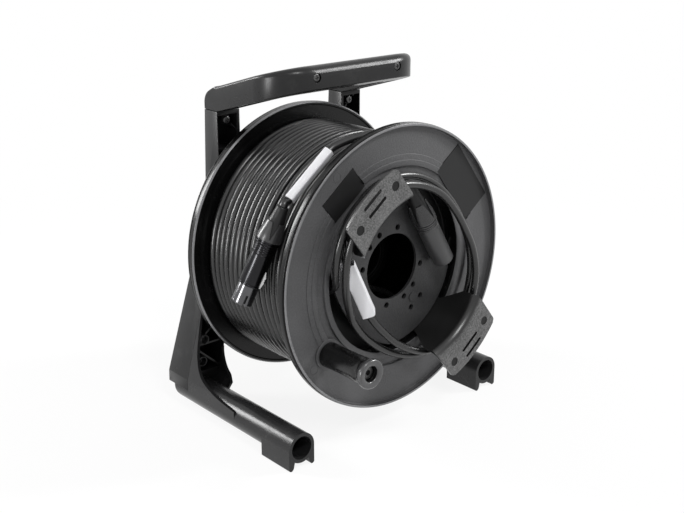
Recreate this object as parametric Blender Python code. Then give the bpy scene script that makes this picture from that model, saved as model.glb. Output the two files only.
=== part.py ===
# Cable reel for stage lighting, with a carrying frame, a hand-cranked drum and a wound data cable.
# Metres, +Z up. The crank side faces -Y, the frame stands behind the drum, the drum turns about Y.

import bpy
import bmesh
from math import atan2, cos, pi, radians, sin, sqrt
from mathutils import Matrix, Vector

for item in list(bpy.data.objects):
    bpy.data.objects.remove(item, do_unlink=True)

mm = 0.001

# Clearances
touch_gap = 0.3 * mm
running_gap = 0.4 * mm

# Drum
flange_diameter = 235 * mm
drum_width = 126.2 * mm
rim_depth = 4.8 * mm
rim_thickness = 2.5 * mm
rim_rounding = 0.6 * mm
flange_thickness = 2.2 * mm
winding_room = 42 * mm
barrel_wall = 2.5 * mm
floor_clearance = 19.7 * mm
flange_segments = 36

flange_radius = flange_diameter / 2
half_width = drum_width / 2
plate_face = half_width - rim_depth
plate_back = plate_face - flange_thickness
barrel_radius = flange_radius - winding_room
well_radius = barrel_radius - barrel_wall
axis_height = flange_radius + floor_clearance

# Well in the front flange, its collar and its raised rings
collar_wall = 1.7 * mm
collar_depth = 6 * mm
inner_ring_width = 5 * mm
inner_ring_height = 1.7 * mm
groove_width = 7 * mm
groove_depth = 0.7 * mm
bead_width = 5 * mm
bead_height = 1.3 * mm
step_width = 4.5 * mm
step_height = 0.7 * mm
opening_radius = well_radius - touch_gap - collar_wall

# Hub web inside the barrel
web_depth = 19.1 * mm
web_thickness = 2.5 * mm
web_bore_diameter = 80 * mm
web_face = half_width - web_depth
cable_hole_setback = 5 * mm
cable_hole = (opening_radius - cable_hole_setback, 187)

# Hub plate, seen through the well
plate_thickness = 2.5 * mm
hub_plate_depth = 8.1 * mm
hub_bore_diameter = 55 * mm
plate_short_radius = 57 * mm
plate_long_radius = 80 * mm
hub_hole_diameter = 4 * mm
hub_hole_circle = 32.5 * mm
hub_hole_outer_circle = 47 * mm
hub_hole_angles = (-8, -41, -64, -100)
hub_outer_hole_angles = (-45, -61)
post_radius = 3.5 * mm
post_circle = 59 * mm
post_angle = 32
hub_boss_radius = 4 * mm
hub_boss_height = 0.8 * mm
hub_screw_angles = (-101, 1, 79)
hub_screw_setback = 7 * mm
hub_plate_face = half_width - hub_plate_depth

# Cable retainers, one each way from the axis
retainer_angles = {"upper": 128, "lower": -52}
retainer_wall = 2.4 * mm
retainer_rise = 30.9 * mm
retainer_lip_reach = 30 * mm
retainer_lip_height = half_width + retainer_rise
retainer_lip_radius = opening_radius + retainer_lip_reach
retainer_lip_half_width = 31 * mm
retainer_root_half_width = 18.5 * mm
retainer_bend_radius = 6 * mm
retainer_corner_radius = 3 * mm
retainer_tab = 8 * mm
dimple_radius = 3.8 * mm
dimple_depth = 0.4 * mm
dimple_offset = 22 * mm
slot_length = 21 * mm
slot_width = 2.6 * mm
slot_offsets = (6 * mm, 14 * mm)

# Bearing and frame
spindle_diameter = 44 * mm
spindle_wall = 3 * mm
spindle_reach = 91 * mm
bearing_wall = 4.6 * mm
bearing_collar_width = 7 * mm
ring_thickness = 2.5 * mm
ring_width = 6.5 * mm
frame_gap = 6.9 * mm
frame_depth_top = 17 * mm
frame_depth_bottom = 29 * mm
frame_wall = 2.6 * mm
upright_width = 22.5 * mm
bend_share = 0.32
handle_half_width = 78.2 * mm
rib_thickness = 1.6 * mm
boss_radius = 4 * mm
boss_setback = 4 * mm
screw_shank_radius = 1.6 * mm
screw_head_radius = 3.4 * mm
screw_head_height = 2 * mm
screw_length = 8 * mm
bridge_depth = 13 * mm
bridge_half_height = 25 * mm
bridge_waist = 17 * mm
bridge_hub_radius = 38 * mm
bridge_screw_height = 15 * mm
frame_face = half_width + frame_gap

# Feet
foot_outer_radius = 12.5 * mm
foot_bore_diameter = 19.2 * mm
foot_axis_height = 17 * mm
foot_overhang = 4.5 * mm
foot_flare = 1.78
foot_pad_length = 35 * mm
foot_side_clearance = 1.4 * mm
leg_tip_radius = 2.2 * mm
leg_flat = 1.6 * mm
foot_end_rounding = 7 * mm
gusset_thickness = 2.6 * mm
outer_gusset_length = 66 * mm
outer_gusset_height = 84 * mm
inner_gusset_length = 22 * mm
inner_gusset_height = 33 * mm
foot_axis_x = flange_radius + foot_side_clearance - foot_outer_radius
foot_front = -(half_width + foot_overhang)

# Handle
handle_height = 20.5 * mm
handle_slope = 0.293
handle_reach = 84.4 * mm
handle_corner_radius = 36 * mm
handle_rounding = 5 * mm
handle_under_rounding = 2.5 * mm
handle_rear_rounding = 10 * mm
handle_skin = 3 * mm
grip_screw_spacing = 85.4 * mm
grip_recess_depth = 3 * mm

# Crank knob
crank_setback = 27.6 * mm
crank_radius = flange_radius - crank_setback
crank_angle = -143
knob_length = 49.5 * mm
knob_base_radius = 10.2 * mm
knob_waist_radius = 10 * mm
knob_end_radius = 12 * mm
knob_socket_radius = 6.2 * mm
knob_socket_depth = 9 * mm
knob_bolt_radius = 3 * mm
knob_seat_radius = 12.5 * mm
knob_seat_height = 1.5 * mm

# Cable and its winding
cable_diameter = 6 * mm
turns = 16
points_per_turn = 24
turn_gap = 0.46 * mm
wide_gap = 1.6 * mm
wide_gap_turn = 9.5
winding_margin = 14 * mm
winding_end_angle = 60
cable_radius = cable_diameter / 2
winding_radius = flange_radius - winding_margin - cable_radius

# Plug connectors
plug_radius = 9 * mm
plug_length = 82 * mm
inner_plug_lean = 30.8
outer_boot_length = 27 * mm
inner_boot_length = 35 * mm
boot_tail_radius = 4.7 * mm
boot_head_radius = 9.2 * mm
band_length = 8 * mm
band_ribs = 3
band_step = 0.8 * mm
nose_rounding = 0.5 * mm
nose_length = 16 * mm
socket_wall = 1.3 * mm
insert_inset = 1.5 * mm
contact_radius = 1.2 * mm
contact_circle = 4 * mm
latch_length = 12 * mm
latch_width = 5 * mm
latch_height = 2.4 * mm
latch_travel = 1.2 * mm
latch_roll = 165

# Label sleeves on the cable
outer_sleeve_size = (10.5 * mm, 8 * mm)
inner_sleeve_size = (12.6 * mm, 7.8 * mm)
outer_sleeve_roll = 70
inner_sleeve_roll = 5

# Blank label plates on the front flange
label_thickness = 0.6 * mm
label_recess = 0.5 * mm
side_label_size = (31 * mm, 60 * mm)
side_label_setback = 22.7 * mm
side_label_place = (flange_radius - side_label_setback, 37.2)
upper_label_size = (20 * mm, 38 * mm)
upper_label_setback = 28.5 * mm
upper_label_place = (flange_radius - upper_label_setback, 128)

# Materials
def material(name, colour, roughness, metallic=0.0):
    look = bpy.data.materials.new(name)
    look.use_nodes = True
    shader = look.node_tree.nodes["Principled BSDF"]
    shader.inputs["Base Color"].default_value = (*colour, 1)
    shader.inputs["Roughness"].default_value = roughness
    shader.inputs["Metallic"].default_value = metallic
    return look


flange_plastic = material("flange_plastic", (0.035, 0.036, 0.037), 0.5)
frame_plastic = material("frame_plastic", (0.03, 0.03, 0.032), 0.38)
grained_plastic = material("grained_plastic", (0.07, 0.07, 0.072), 0.6)
knob_plastic = material("knob_plastic", (0.02, 0.02, 0.022), 0.2)
label_film = material("label_film", (0.02, 0.021, 0.022), 0.45)
cable_jacket = material("cable_jacket", (0.05, 0.05, 0.052), 0.42)
boot_rubber = material("boot_rubber", (0.03, 0.03, 0.03), 0.55)
black_chrome = material("black_chrome", (0.04, 0.04, 0.045), 0.22, 0.9)
sleeve_white = material("sleeve_white", (0.82, 0.82, 0.81), 0.45)
bright_steel = material("bright_steel", (0.62, 0.62, 0.62), 0.3, 1.0)
dark_steel = material("dark_steel", (0.2, 0.2, 0.2), 0.35, 1.0)
contact_gold = material("contact_gold", (0.75, 0.6, 0.3), 0.3, 1.0)


# Building blocks
def add_empty(name, location, parent=None):
    empty = bpy.data.objects.new(name, None)
    empty.location = location
    empty.parent = parent
    bpy.context.scene.collection.objects.link(empty)
    return empty


def add_mesh(name, bm, look, parent, smooth=True):
    bmesh.ops.remove_doubles(bm, verts=bm.verts, dist=1e-6)
    bmesh.ops.recalc_face_normals(bm, faces=bm.faces)
    mesh = bpy.data.meshes.new(name)
    bm.to_mesh(mesh)
    bm.free()
    if look:
        mesh.materials.append(look)
    if smooth:
        mesh.shade_smooth()
        mesh.set_sharp_from_angle(angle=radians(30))
    item = bpy.data.objects.new(name, mesh)
    item.parent = parent
    bpy.context.scene.collection.objects.link(item)
    return item


def polar(radius, angle):
    return radius * cos(radians(angle)), radius * sin(radians(angle))


def arc(centre, radius, start, end, steps):
    turn = (end - start) / steps
    return [(centre[0] + radius * cos(radians(start + turn * i)),
             centre[1] + radius * sin(radians(start + turn * i))) for i in range(steps + 1)]


def rounded(corners, steps=4):
    # Each corner is (x, y, fillet radius).
    outline = []
    for i, (x, y, radius) in enumerate(corners):
        if radius <= 0:
            outline.append((x, y))
            continue
        here = Vector((x, y))
        back = Vector(corners[i - 1][:2]) - here
        ahead = Vector(corners[(i + 1) % len(corners)][:2]) - here
        half = back.angle(ahead) / 2
        centre = here + (back.normalized() + ahead.normalized()).normalized() * radius / sin(half)
        first = here + back.normalized() * radius / (sin(half) / cos(half))
        sweep = pi - 2 * half
        side = 1 if back.cross(ahead) < 0 else -1
        spoke = first - centre
        for k in range(steps + 1):
            turn = side * sweep * k / steps
            outline.append((centre.x + spoke.x * cos(turn) - spoke.y * sin(turn),
                            centre.y + spoke.x * sin(turn) + spoke.y * cos(turn)))
    return outline


def turned_mesh(bm, profile, segments, sweep=360.0):
    # The profile's points are (radius, place along +Y); a profile that ends on the axis stays open.
    verts = [bm.verts.new((radius, along, 0)) for radius, along in profile]
    edges = [bm.edges.new(pair) for pair in zip(verts, verts[1:])]
    closed = profile[0][0] > 0 or profile[-1][0] > 0
    if closed:
        edges.append(bm.edges.new((verts[-1], verts[0])))
    whole = sweep >= 360.0
    if not whole:
        bmesh.ops.rotate(bm, verts=verts, cent=(0, 0, 0), matrix=Matrix.Rotation(radians(sweep / 2), 3, "Y"))
    bmesh.ops.spin(bm, geom=verts + edges, cent=(0, 0, 0), axis=(0, -1, 0), angle=radians(sweep),
                   steps=segments, use_merge=whole)
    if not whole:
        bmesh.ops.holes_fill(bm, edges=bm.edges)


def turned(name, profile, look, parent, segments=24):
    bm = bmesh.new()
    turned_mesh(bm, profile, segments)
    return add_mesh(name, bm, look, parent)


def prism_mesh(bm, outline, axis, start, end):
    # The outline's points lie in the plane square to the axis: (y, z), (x, z) or (x, y).
    def place(u, v, w):
        return {"X": (w, u, v), "Y": (u, w, v), "Z": (u, v, w)}[axis]

    verts = [bm.verts.new(place(u, v, start)) for u, v in outline]
    face = bm.faces.new(verts)
    grown = bmesh.ops.extrude_face_region(bm, geom=[face])
    moved = [piece for piece in grown["geom"] if isinstance(piece, bmesh.types.BMVert)]
    bmesh.ops.translate(bm, verts=moved, vec=Vector(place(0, 0, end - start)))
    return verts, moved


def prism(name, outline, axis, start, end, look=None, parent=None, smooth=True):
    bm = bmesh.new()
    prism_mesh(bm, outline, axis, start, end)
    return add_mesh(name, bm, look, parent, smooth)


def screw_hole_mesh(bm, place, head_depth):
    # Room for a screw that enters along +Y: its head in front of the place, its shank behind.
    before = set(bm.verts)
    head = screw_head_radius + touch_gap
    shank = screw_shank_radius + touch_gap
    deep = screw_length + touch_gap
    profile = [(0, -head_depth), (head, -head_depth), (head, 0), (shank, 0), (shank, deep), (0, deep)]
    turned_mesh(bm, profile, 8)
    bmesh.ops.translate(bm, verts=[vert for vert in bm.verts if vert not in before], vec=place)


def as_cutter(item):
    item.hide_render = True
    item.display_type = "WIRE"
    return item


def shape_with(item, operation, cutter):
    modifier = item.modifiers.new(operation.lower(), "BOOLEAN")
    modifier.operation = operation
    modifier.solver = "EXACT"
    modifier.object = as_cutter(cutter)
    return item


def cable_tube(name, points, radius, sides_setting, look, parent):
    curve = bpy.data.curves.new(name, "CURVE")
    curve.dimensions = "3D"
    curve.bevel_depth = radius
    curve.bevel_resolution = sides_setting
    curve.use_fill_caps = True
    curve.twist_mode = "MINIMUM"
    spline = curve.splines.new("POLY")
    spline.points.add(len(points) - 1)
    for point, place in zip(spline.points, points):
        point.co = (*place, 1)
        point.radius = 1
    spline.use_smooth = True
    curve.materials.append(look)
    item = bpy.data.objects.new(name, curve)
    item.parent = parent
    bpy.context.scene.collection.objects.link(item)
    return item


def aim(item, place, direction, roll=0.0):
    # Turns the piece's own +Y along the direction.
    turn = Vector((0, 1, 0)).rotation_difference(Vector(direction).normalized())
    item.rotation_mode = "QUATERNION"
    item.rotation_quaternion = turn @ Matrix.Rotation(radians(roll), 3, "Y").to_quaternion()
    item.location = place
    return item


def smooth_route(route, count):
    # A Catmull-Rom curve through the route's points, read at even steps of length.
    # The first and the last stretch stay straight, so that both ends are square.
    dense = []
    for p0, p1, p2, p3 in zip(route, route[1:], route[2:], route[3:]):
        for k in range(24):
            t = k / 24
            dense.append(0.5 * ((2 * p1) + (p2 - p0) * t + (2 * p0 - 5 * p1 + 4 * p2 - p3) * t * t
                                + (3 * p1 - p0 - 3 * p2 + p3) * t * t * t))
    dense.append(route[-2])
    reach = [0.0]
    for a, b in zip(dense, dense[1:]):
        reach.append(reach[-1] + (b - a).length)
    points = [route[0]]
    k = 0
    for i in range(count - 2):
        goal = reach[-1] * i / (count - 3)
        while k < len(reach) - 2 and reach[k + 1] < goal:
            k += 1
        share = (goal - reach[k]) / (reach[k + 1] - reach[k])
        points.append(dense[k].lerp(dense[k + 1], min(max(share, 0), 1)))
    points.append(route[-1])
    return points, reach[-1] + 2 * cable_diameter


def screw(name, place, direction, look, parent, length=screw_length):
    # The head's underside is at the place and the shank runs along the direction.
    profile = [(0, length), (screw_shank_radius, length), (screw_shank_radius, 0), (screw_head_radius, 0),
               (screw_head_radius, -screw_head_height * 0.6), (screw_head_radius * 0.8, -screw_head_height),
               (0, -screw_head_height)]
    return aim(turned(name, profile, look, parent, 8), place, direction)


# The frame stands still; the drum turns about its own axis, and the knob about its bolt.
knob_end = plate_face + knob_seat_height + 2 * touch_gap + knob_length
stance_front = max(knob_end, retainer_lip_height, -foot_front)
stance_rear = frame_face + frame_depth_bottom
reel = add_empty("reel", (0, (stance_front - stance_rear) / 2, 0))
drum_axis = add_empty("drum_axis", (0, 0, axis_height), reel)
knob_x, knob_z = polar(crank_radius, crank_angle)
knob_axis = add_empty("knob_axis", (knob_x, -(plate_face + knob_seat_height + touch_gap), knob_z), drum_axis)


# Front flange with its rim, rings and collar
def rim_profile(side):
    inner = flange_radius - rim_thickness
    return [(inner, side * plate_face), (inner, side * (half_width - rim_rounding)),
            (inner + rim_rounding, side * half_width), (flange_radius - rim_rounding, side * half_width),
            (flange_radius, side * (half_width - rim_rounding)), (flange_radius, side * plate_back)]


def front_flange():
    ring = opening_radius + inner_ring_width
    groove = ring + groove_width
    bead = groove + bead_width
    step = bead + step_width
    collar = opening_radius + collar_wall
    profile = [(opening_radius, -(plate_back - collar_depth)),
               (opening_radius, -(plate_face + inner_ring_height)),
               (ring, -(plate_face + inner_ring_height)), (ring, -(plate_face - groove_depth)),
               (groove, -(plate_face - groove_depth)), (groove, -(plate_face + bead_height)),
               (bead, -(plate_face + bead_height)), (bead, -(plate_face + step_height)),
               (step, -(plate_face + step_height)), (step, -plate_face)]
    profile += rim_profile(-1)
    profile += [(collar, -plate_back), (collar, -(plate_back - collar_depth))]
    flange = turned("front_flange", profile, flange_plastic, drum_axis, flange_segments)
    seat_outline = arc((knob_x, knob_z), knob_seat_radius, 0, 345, 23)
    seat = prism("knob_seat_shape", seat_outline, "Y", -(plate_face + knob_seat_height),
                 -(plate_face - flange_thickness / 2), parent=drum_axis)
    shape_with(flange, "UNION", seat)
    bm = bmesh.new()
    for size, place in ((side_label_size, side_label_place), (upper_label_size, upper_label_place)):
        outline = label_outline(size, place, touch_gap)
        prism_mesh(bm, outline, "Y", -(plate_face + 2 * knob_seat_height), -(plate_face - label_recess))
    return shape_with(flange, "DIFFERENCE", add_mesh("label_recess_shape", bm, None, drum_axis))


def label_outline(size, place, margin):
    # A rectangle whose first size runs outward and whose second runs round the axis.
    radius, angle = place
    out = Vector(polar(1, angle))
    side = Vector((-out.y, out.x))
    half_out = size[0] / 2 + margin
    half_side = size[1] / 2 + margin
    corners = ((-half_out, -half_side), (half_out, -half_side), (half_out, half_side), (-half_out, half_side))
    return [tuple(out * (radius + u) + side * v) for u, v in corners]


def label_plates():
    for name, size, place in (("label_plate_side", side_label_size, side_label_place),
                              ("label_plate_upper", upper_label_size, upper_label_place)):
        base = plate_face - label_recess + touch_gap
        outline = label_outline(size, place, 0)
        prism(name, outline, "Y", -(base + label_thickness), -base, label_film, drum_axis)


# Rear flange with its web, bearing seat and stiffening ribs
def rear_flange():
    bearing = spindle_diameter / 2 + running_gap + bearing_wall
    bore = bearing + touch_gap
    boss = bore + bearing_collar_width
    collar = opening_radius + collar_wall
    profile = [(collar, plate_back), (collar, plate_back - collar_depth),
               (opening_radius, plate_back - collar_depth), (opening_radius, plate_back),
               (bore, plate_back), (bore, plate_face + bead_height),
               (boss, plate_face + bead_height), (boss, plate_face)]
    profile += rim_profile(1)
    flange = turned("rear_flange", profile, flange_plastic, drum_axis, flange_segments)
    bm = bmesh.new()
    rib_count = 8
    first = boss - step_width / 2
    last = flange_radius - rim_thickness / 2
    for i in range(rib_count):
        turn = Matrix.Rotation(radians(360 / rib_count * (i + 0.5)), 3, "Y")
        verts, moved = prism_mesh(bm, [(first, -rib_thickness / 2), (last, -rib_thickness / 2),
                                       (last, rib_thickness / 2), (first, rib_thickness / 2)],
                                  "Y", plate_face - flange_thickness / 2, plate_face + bead_height * 0.8)
        bmesh.ops.rotate(bm, verts=verts + moved, cent=(0, 0, 0), matrix=turn)
    return shape_with(flange, "UNION", add_mesh("rear_rib_shape", bm, None, drum_axis))


# Barrel with the web that carries the hub plate
def drum_barrel():
    end = plate_back - touch_gap
    web_bore = web_bore_diameter / 2
    web_back = web_face - web_thickness
    profile = [(barrel_radius, -end), (barrel_radius, end), (well_radius, end), (well_radius, -web_back),
               (web_bore, -web_back), (web_bore, -web_face), (well_radius, -web_face), (well_radius, -end)]
    barrel = turned("drum_barrel", profile, flange_plastic, drum_axis, flange_segments)
    hole_x, hole_z = polar(*cable_hole)
    hole = prism("cable_hole_shape", arc((hole_x, hole_z), cable_radius + 2 * running_gap, 0, 330, 11), "Y",
                 -(web_face + web_thickness), -(web_back - web_thickness), parent=drum_axis)
    return shape_with(barrel, "DIFFERENCE", hole)


def hub_plate_edge(angle):
    # The plate is a disc that clears the retainers, drawn in beside them.
    across = radians(angle - retainer_angles["upper"])
    oval = 1 / sqrt((sin(across) / plate_short_radius) ** 2 + (cos(across) / plate_long_radius) ** 2)
    return min(oval, retainer_inner_radius - running_gap)


retainer_inner_radius = opening_radius - running_gap - retainer_wall


def hub_plate():
    back = hub_plate_face - plate_thickness
    outline = [polar(hub_plate_edge(angle), angle) for angle in range(0, 360, 9)]
    plate = prism("hub_plate", outline, "Y", -hub_plate_face, -back, flange_plastic, drum_axis)
    bm = bmesh.new()
    for middle in retainer_angles.values():
        for side in (-1, 1):
            centre = polar(post_circle, middle + side * post_angle)
            prism_mesh(bm, arc(centre, post_radius, 0, 315, 7), "Y",
                       -(back + plate_thickness / 2), -(web_face + touch_gap))
    shape_with(plate, "UNION", add_mesh("post_shape", bm, None, drum_axis))
    bm = bmesh.new()
    group_circle = (hub_hole_circle + hub_hole_outer_circle) / 2
    group_angle = sum(hub_outer_hole_angles) / len(hub_outer_hole_angles)
    for half_turn in (0, 180):
        prism_mesh(bm, arc(polar(group_circle, group_angle + half_turn), hub_boss_radius, 0, 315, 7), "Y",
                   -(hub_plate_face + hub_boss_height), -(back + plate_thickness / 2))
    shape_with(plate, "UNION", add_mesh("hub_boss_shape", bm, None, drum_axis))
    bm = bmesh.new()
    spots = [(0, 0, hub_bore_diameter / 2, 24)]
    for half_turn in (0, 180):
        spots += [(hub_hole_circle, angle + half_turn, hub_hole_diameter / 2, 6) for angle in hub_hole_angles]
        spots += [(hub_hole_outer_circle, angle + half_turn, hub_hole_diameter / 2, 6)
                  for angle in hub_outer_hole_angles]
    for circle, angle, radius, sides in spots:
        prism_mesh(bm, arc(polar(circle, angle), radius, 0, 360 - 360 / sides, sides - 1), "Y",
                   -(hub_plate_face + plate_thickness), -(back - plate_thickness))
    return shape_with(plate, "DIFFERENCE", add_mesh("hub_hole_shape", bm, None, drum_axis))


# Retainers: a curved wall that rises from the web and bends outward into a slotted lip
def retainer(name, angle):
    inner = retainer_inner_radius
    outer = inner + retainer_wall
    root = web_face + touch_gap
    under = retainer_lip_height - retainer_wall
    bend = retainer_bend_radius
    outer_bend = [(r, -y) for r, y in arc((outer + bend, under - bend), bend, 180, 90, 3)]
    inner_bend = [(r, -y) for r, y in arc((outer + bend, under - bend), bend + retainer_wall, 90, 180, 3)]
    profile = [(inner - retainer_tab, -root), (outer, -root)] + outer_bend
    profile += [(retainer_lip_radius, -under), (retainer_lip_radius, -retainer_lip_height)] + inner_bend
    profile += [(inner, -(root + retainer_wall)), (inner - retainer_tab, -(root + retainer_wall))]
    bm = bmesh.new()
    turned_mesh(bm, profile, 8, 52)
    item = add_mesh(name, bm, grained_plastic, drum_axis)
    wide = retainer_lip_half_width
    narrow = retainer_root_half_width
    corner = retainer_corner_radius
    edge = sqrt(retainer_lip_radius ** 2 - wide ** 2)
    top = arc((edge - corner, wide - corner), corner, 90, 15, 4)
    far = retainer_lip_radius + corner
    sides = [(inner - 2 * retainer_tab, wide)] + top + [(far, wide - corner)]
    outline = sides + [(x, -z) for x, z in reversed(sides)]
    trim = prism(name + "_outline_shape", outline, "Y", -(retainer_lip_height + corner), -(web_face - corner),
                 parent=drum_axis)
    taper_start = hub_plate_face + retainer_wall
    flank = [(narrow, -(web_face - corner)), (narrow, -taper_start), (wide + corner, -(under - bend)),
             (wide + corner, -(retainer_lip_height + corner))]
    flank_outline = [(y, z) for z, y in flank] + [(y, -z) for z, y in reversed(flank)]
    taper = prism(name + "_taper_shape", flank_outline, "X", inner - 2 * retainer_tab, far, parent=drum_axis)
    bm = bmesh.new()
    for offset in slot_offsets:
        across = retainer_lip_radius - offset
        end = slot_length / 2 - slot_width / 2
        slot = arc((across, end), slot_width / 2, 0, 180, 3) + arc((across, -end), slot_width / 2, 180, 360, 3)
        prism_mesh(bm, slot, "Y", -(retainer_lip_height + retainer_wall), -(under - retainer_wall))
    slots = add_mesh(name + "_slot_shape", bm, None, drum_axis)
    bm = bmesh.new()
    lip_middle = (outer + bend + retainer_lip_radius) / 2
    for side in (-1, 1):
        middle = (sqrt(lip_middle ** 2 - dimple_offset ** 2), side * dimple_offset)
        prism_mesh(bm, arc(middle, dimple_radius, 0, 315, 7), "Y", -(retainer_lip_height + retainer_wall),
                   -(retainer_lip_height - dimple_depth))
    dimples = add_mesh(name + "_dimple_shape", bm, None, drum_axis)
    for operation, cutter in (("INTERSECT", trim), ("INTERSECT", taper), ("DIFFERENCE", slots),
                              ("DIFFERENCE", dimples)):
        shape_with(item, operation, cutter)
        cutter.rotation_euler = (0, radians(-angle), 0)
    item.rotation_euler = (0, radians(-angle), 0)
    return item


def hub_screws():
    # Only their heads stand out; the shanks end just under them.
    short = touch_gap / 2
    for name, angle in retainer_angles.items():
        x, z = polar(retainer_inner_radius - retainer_tab / 2, angle)
        face = web_face + retainer_wall + 2 * touch_gap
        screw("retainer_screw_" + name, (x, -face, z), (0, 1, 0), dark_steel, drum_axis, short)
    for index, angle in enumerate(hub_screw_angles, 1):
        x, z = polar(well_radius - hub_screw_setback, angle)
        place = (x, -(web_face + touch_gap), z)
        screw("hub_screw_%d" % index, place, (0, 1, 0), bright_steel, drum_axis, short)


# Bearing: a sleeve in the drum runs on the frame's spindle, held by a ring
def bearing_sleeve():
    bore = spindle_diameter / 2 + running_gap
    outer = bore + bearing_wall
    boss = outer + bearing_collar_width
    seat = plate_face + bead_height + touch_gap
    rear = frame_face - ring_thickness - 2 * touch_gap
    front = spindle_reach - frame_face - ring_thickness - 2 * touch_gap
    profile = [(bore, -front), (outer, -front), (outer, seat), (boss, seat), (boss, rear), (bore, rear)]
    return turned("bearing_sleeve", profile, dark_steel, drum_axis, 24)


def spindle():
    outer = spindle_diameter / 2
    inner = outer - spindle_wall
    rear = frame_face + bridge_depth
    front = spindle_reach - frame_face
    profile = [(inner, -front), (outer, -front), (outer, rear), (inner, rear)]
    return turned("spindle", profile, dark_steel, drum_axis_still, 24)


def spindle_collar():
    inner = spindle_diameter / 2 + touch_gap
    outer = spindle_diameter / 2 + bearing_wall + bearing_collar_width
    face = frame_face - touch_gap
    profile = [(inner, face - ring_thickness), (outer, face - ring_thickness), (outer, face), (inner, face)]
    return turned("spindle_collar", profile, dark_steel, drum_axis_still, 24)


def retaining_ring():
    inner = spindle_diameter / 2 + touch_gap
    front = spindle_reach - frame_face - touch_gap
    profile = [(inner, -front), (inner + ring_width, -front), (inner + ring_width, -(front - ring_thickness)),
               (inner, -(front - ring_thickness))]
    return turned("retaining_ring", profile, bright_steel, drum_axis_still, 24)


drum_axis_still = add_empty("bearing_place", (0, 0, axis_height), reel)


# Uprights: channels open to the front, with a truss of ribs and screw bosses
upright_top = axis_height + flange_radius - touch_gap
bend_height = axis_height + bend_share * flange_radius
foot_top = foot_axis_height + foot_outer_radius
upright_bottom = foot_axis_height + touch_gap


def upright_sides(height):
    # The inner and outer edge of the upright at a height.
    post_inner = handle_half_width - upright_width
    outer_edge = [(upright_bottom, foot_axis_x + foot_outer_radius),
                  (foot_top, foot_axis_x + foot_outer_radius),
                  (bend_height, handle_half_width), (upright_top, handle_half_width)]
    inner_edge = [(upright_bottom, foot_axis_x - foot_outer_radius),
                  (foot_top, foot_axis_x - foot_flare * foot_outer_radius),
                  (bend_height, post_inner), (upright_top, post_inner)]
    found = []
    for edge in (inner_edge, outer_edge):
        for (z0, x0), (z1, x1) in zip(edge, edge[1:]):
            if z0 <= height <= z1:
                found.append(x0 + (x1 - x0) * (height - z0) / (z1 - z0))
                break
    return found


def upright_rear(height):
    share = (height - upright_bottom) / (upright_top - upright_bottom)
    return frame_face + frame_depth_bottom + (frame_depth_top - frame_depth_bottom) * share


def upright(side_name, side):
    levels = [upright_bottom, foot_top, bend_height, upright_top]
    inner = [(side * upright_sides(z)[0], z) for z in levels]
    outer = [(side * upright_sides(z)[1], z) for z in reversed(levels)]
    bm = bmesh.new()
    front, rear = prism_mesh(bm, inner + outer, "Y", frame_face, frame_face + frame_depth_bottom)
    for vert in rear:
        vert.co.y = upright_rear(vert.co.z)
    item = add_mesh("upright_" + side_name, bm, frame_plastic, reel)
    notch = prism("foot_notch_shape_" + side_name, arc((side * foot_axis_x, foot_axis_height),
                  foot_outer_radius + touch_gap, 0, 345, 23), "Y", frame_face - frame_wall,
                  stance_rear + frame_wall, parent=reel)
    shape_with(item, "DIFFERENCE", notch)
    bm = bmesh.new()
    for cell in upright_cells(side):
        front, rear = prism_mesh(bm, cell, "Y", frame_face - frame_wall, stance_rear)
        for vert in rear:
            vert.co.y = upright_rear(vert.co.z) - frame_wall
    shape_with(item, "DIFFERENCE", add_mesh("channel_shape_" + side_name, bm, None, reel))
    bm = bmesh.new()
    for x, z in upright_bosses(side):
        prism_mesh(bm, arc((x, z), boss_radius, 0, 315, 7), "Y", frame_face + boss_setback,
                   upright_rear(z) - frame_wall / 2)
    shape_with(item, "UNION", add_mesh("boss_shape_" + side_name, bm, None, reel))
    bm = bmesh.new()
    for x, z in upright_bosses(side):
        screw_hole_mesh(bm, Vector((x, frame_face + boss_setback, z)), boss_setback + frame_wall)
    shape_with(item, "DIFFERENCE", add_mesh("boss_hole_shape_" + side_name, bm, None, reel))
    for level_name, level in (("low", -1), ("high", 1)):
        shape_with(item, "DIFFERENCE", bridge_screw_hole(side_name, side, level_name, level))
    for index, (x, z) in enumerate(upright_bosses(side), 1):
        place = (x, frame_face + boss_setback - touch_gap, z)
        screw("frame_screw_%s_%d" % (side_name, index), place, (0, 1, 0), dark_steel, reel)
    return item


rib_levels = (0.0, 0.115, 0.235, 0.355, 0.6, 0.735, 0.87, 1.0)


def upright_cells(side):
    # Pockets between the walls: ribs zigzag across the channel above the foot and below the handle.
    low = foot_top + frame_wall
    high = upright_top - frame_wall
    heights = [low + (high - low) * share for share in rib_levels]

    def wall_point(height, which):
        return side * upright_sides(height)[which], height

    half_rib = rib_thickness / 2
    cells = []
    for i, (z0, z1) in enumerate(zip(heights, heights[1:])):
        corners = [wall_point(z0, 0), wall_point(z0, 1), wall_point(z1, 1), wall_point(z1, 0)]
        splits = [corners]
        if i not in (3, len(heights) - 2):
            first = i % 2
            splits = [[corners[first], corners[(first + 1) % 4], corners[(first + 2) % 4]],
                      [corners[(first + 2) % 4], corners[(first + 3) % 4], corners[first]]]
        for split in splits:
            cells.append(trim_cell(split, side, half_rib))
    return cells


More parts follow.
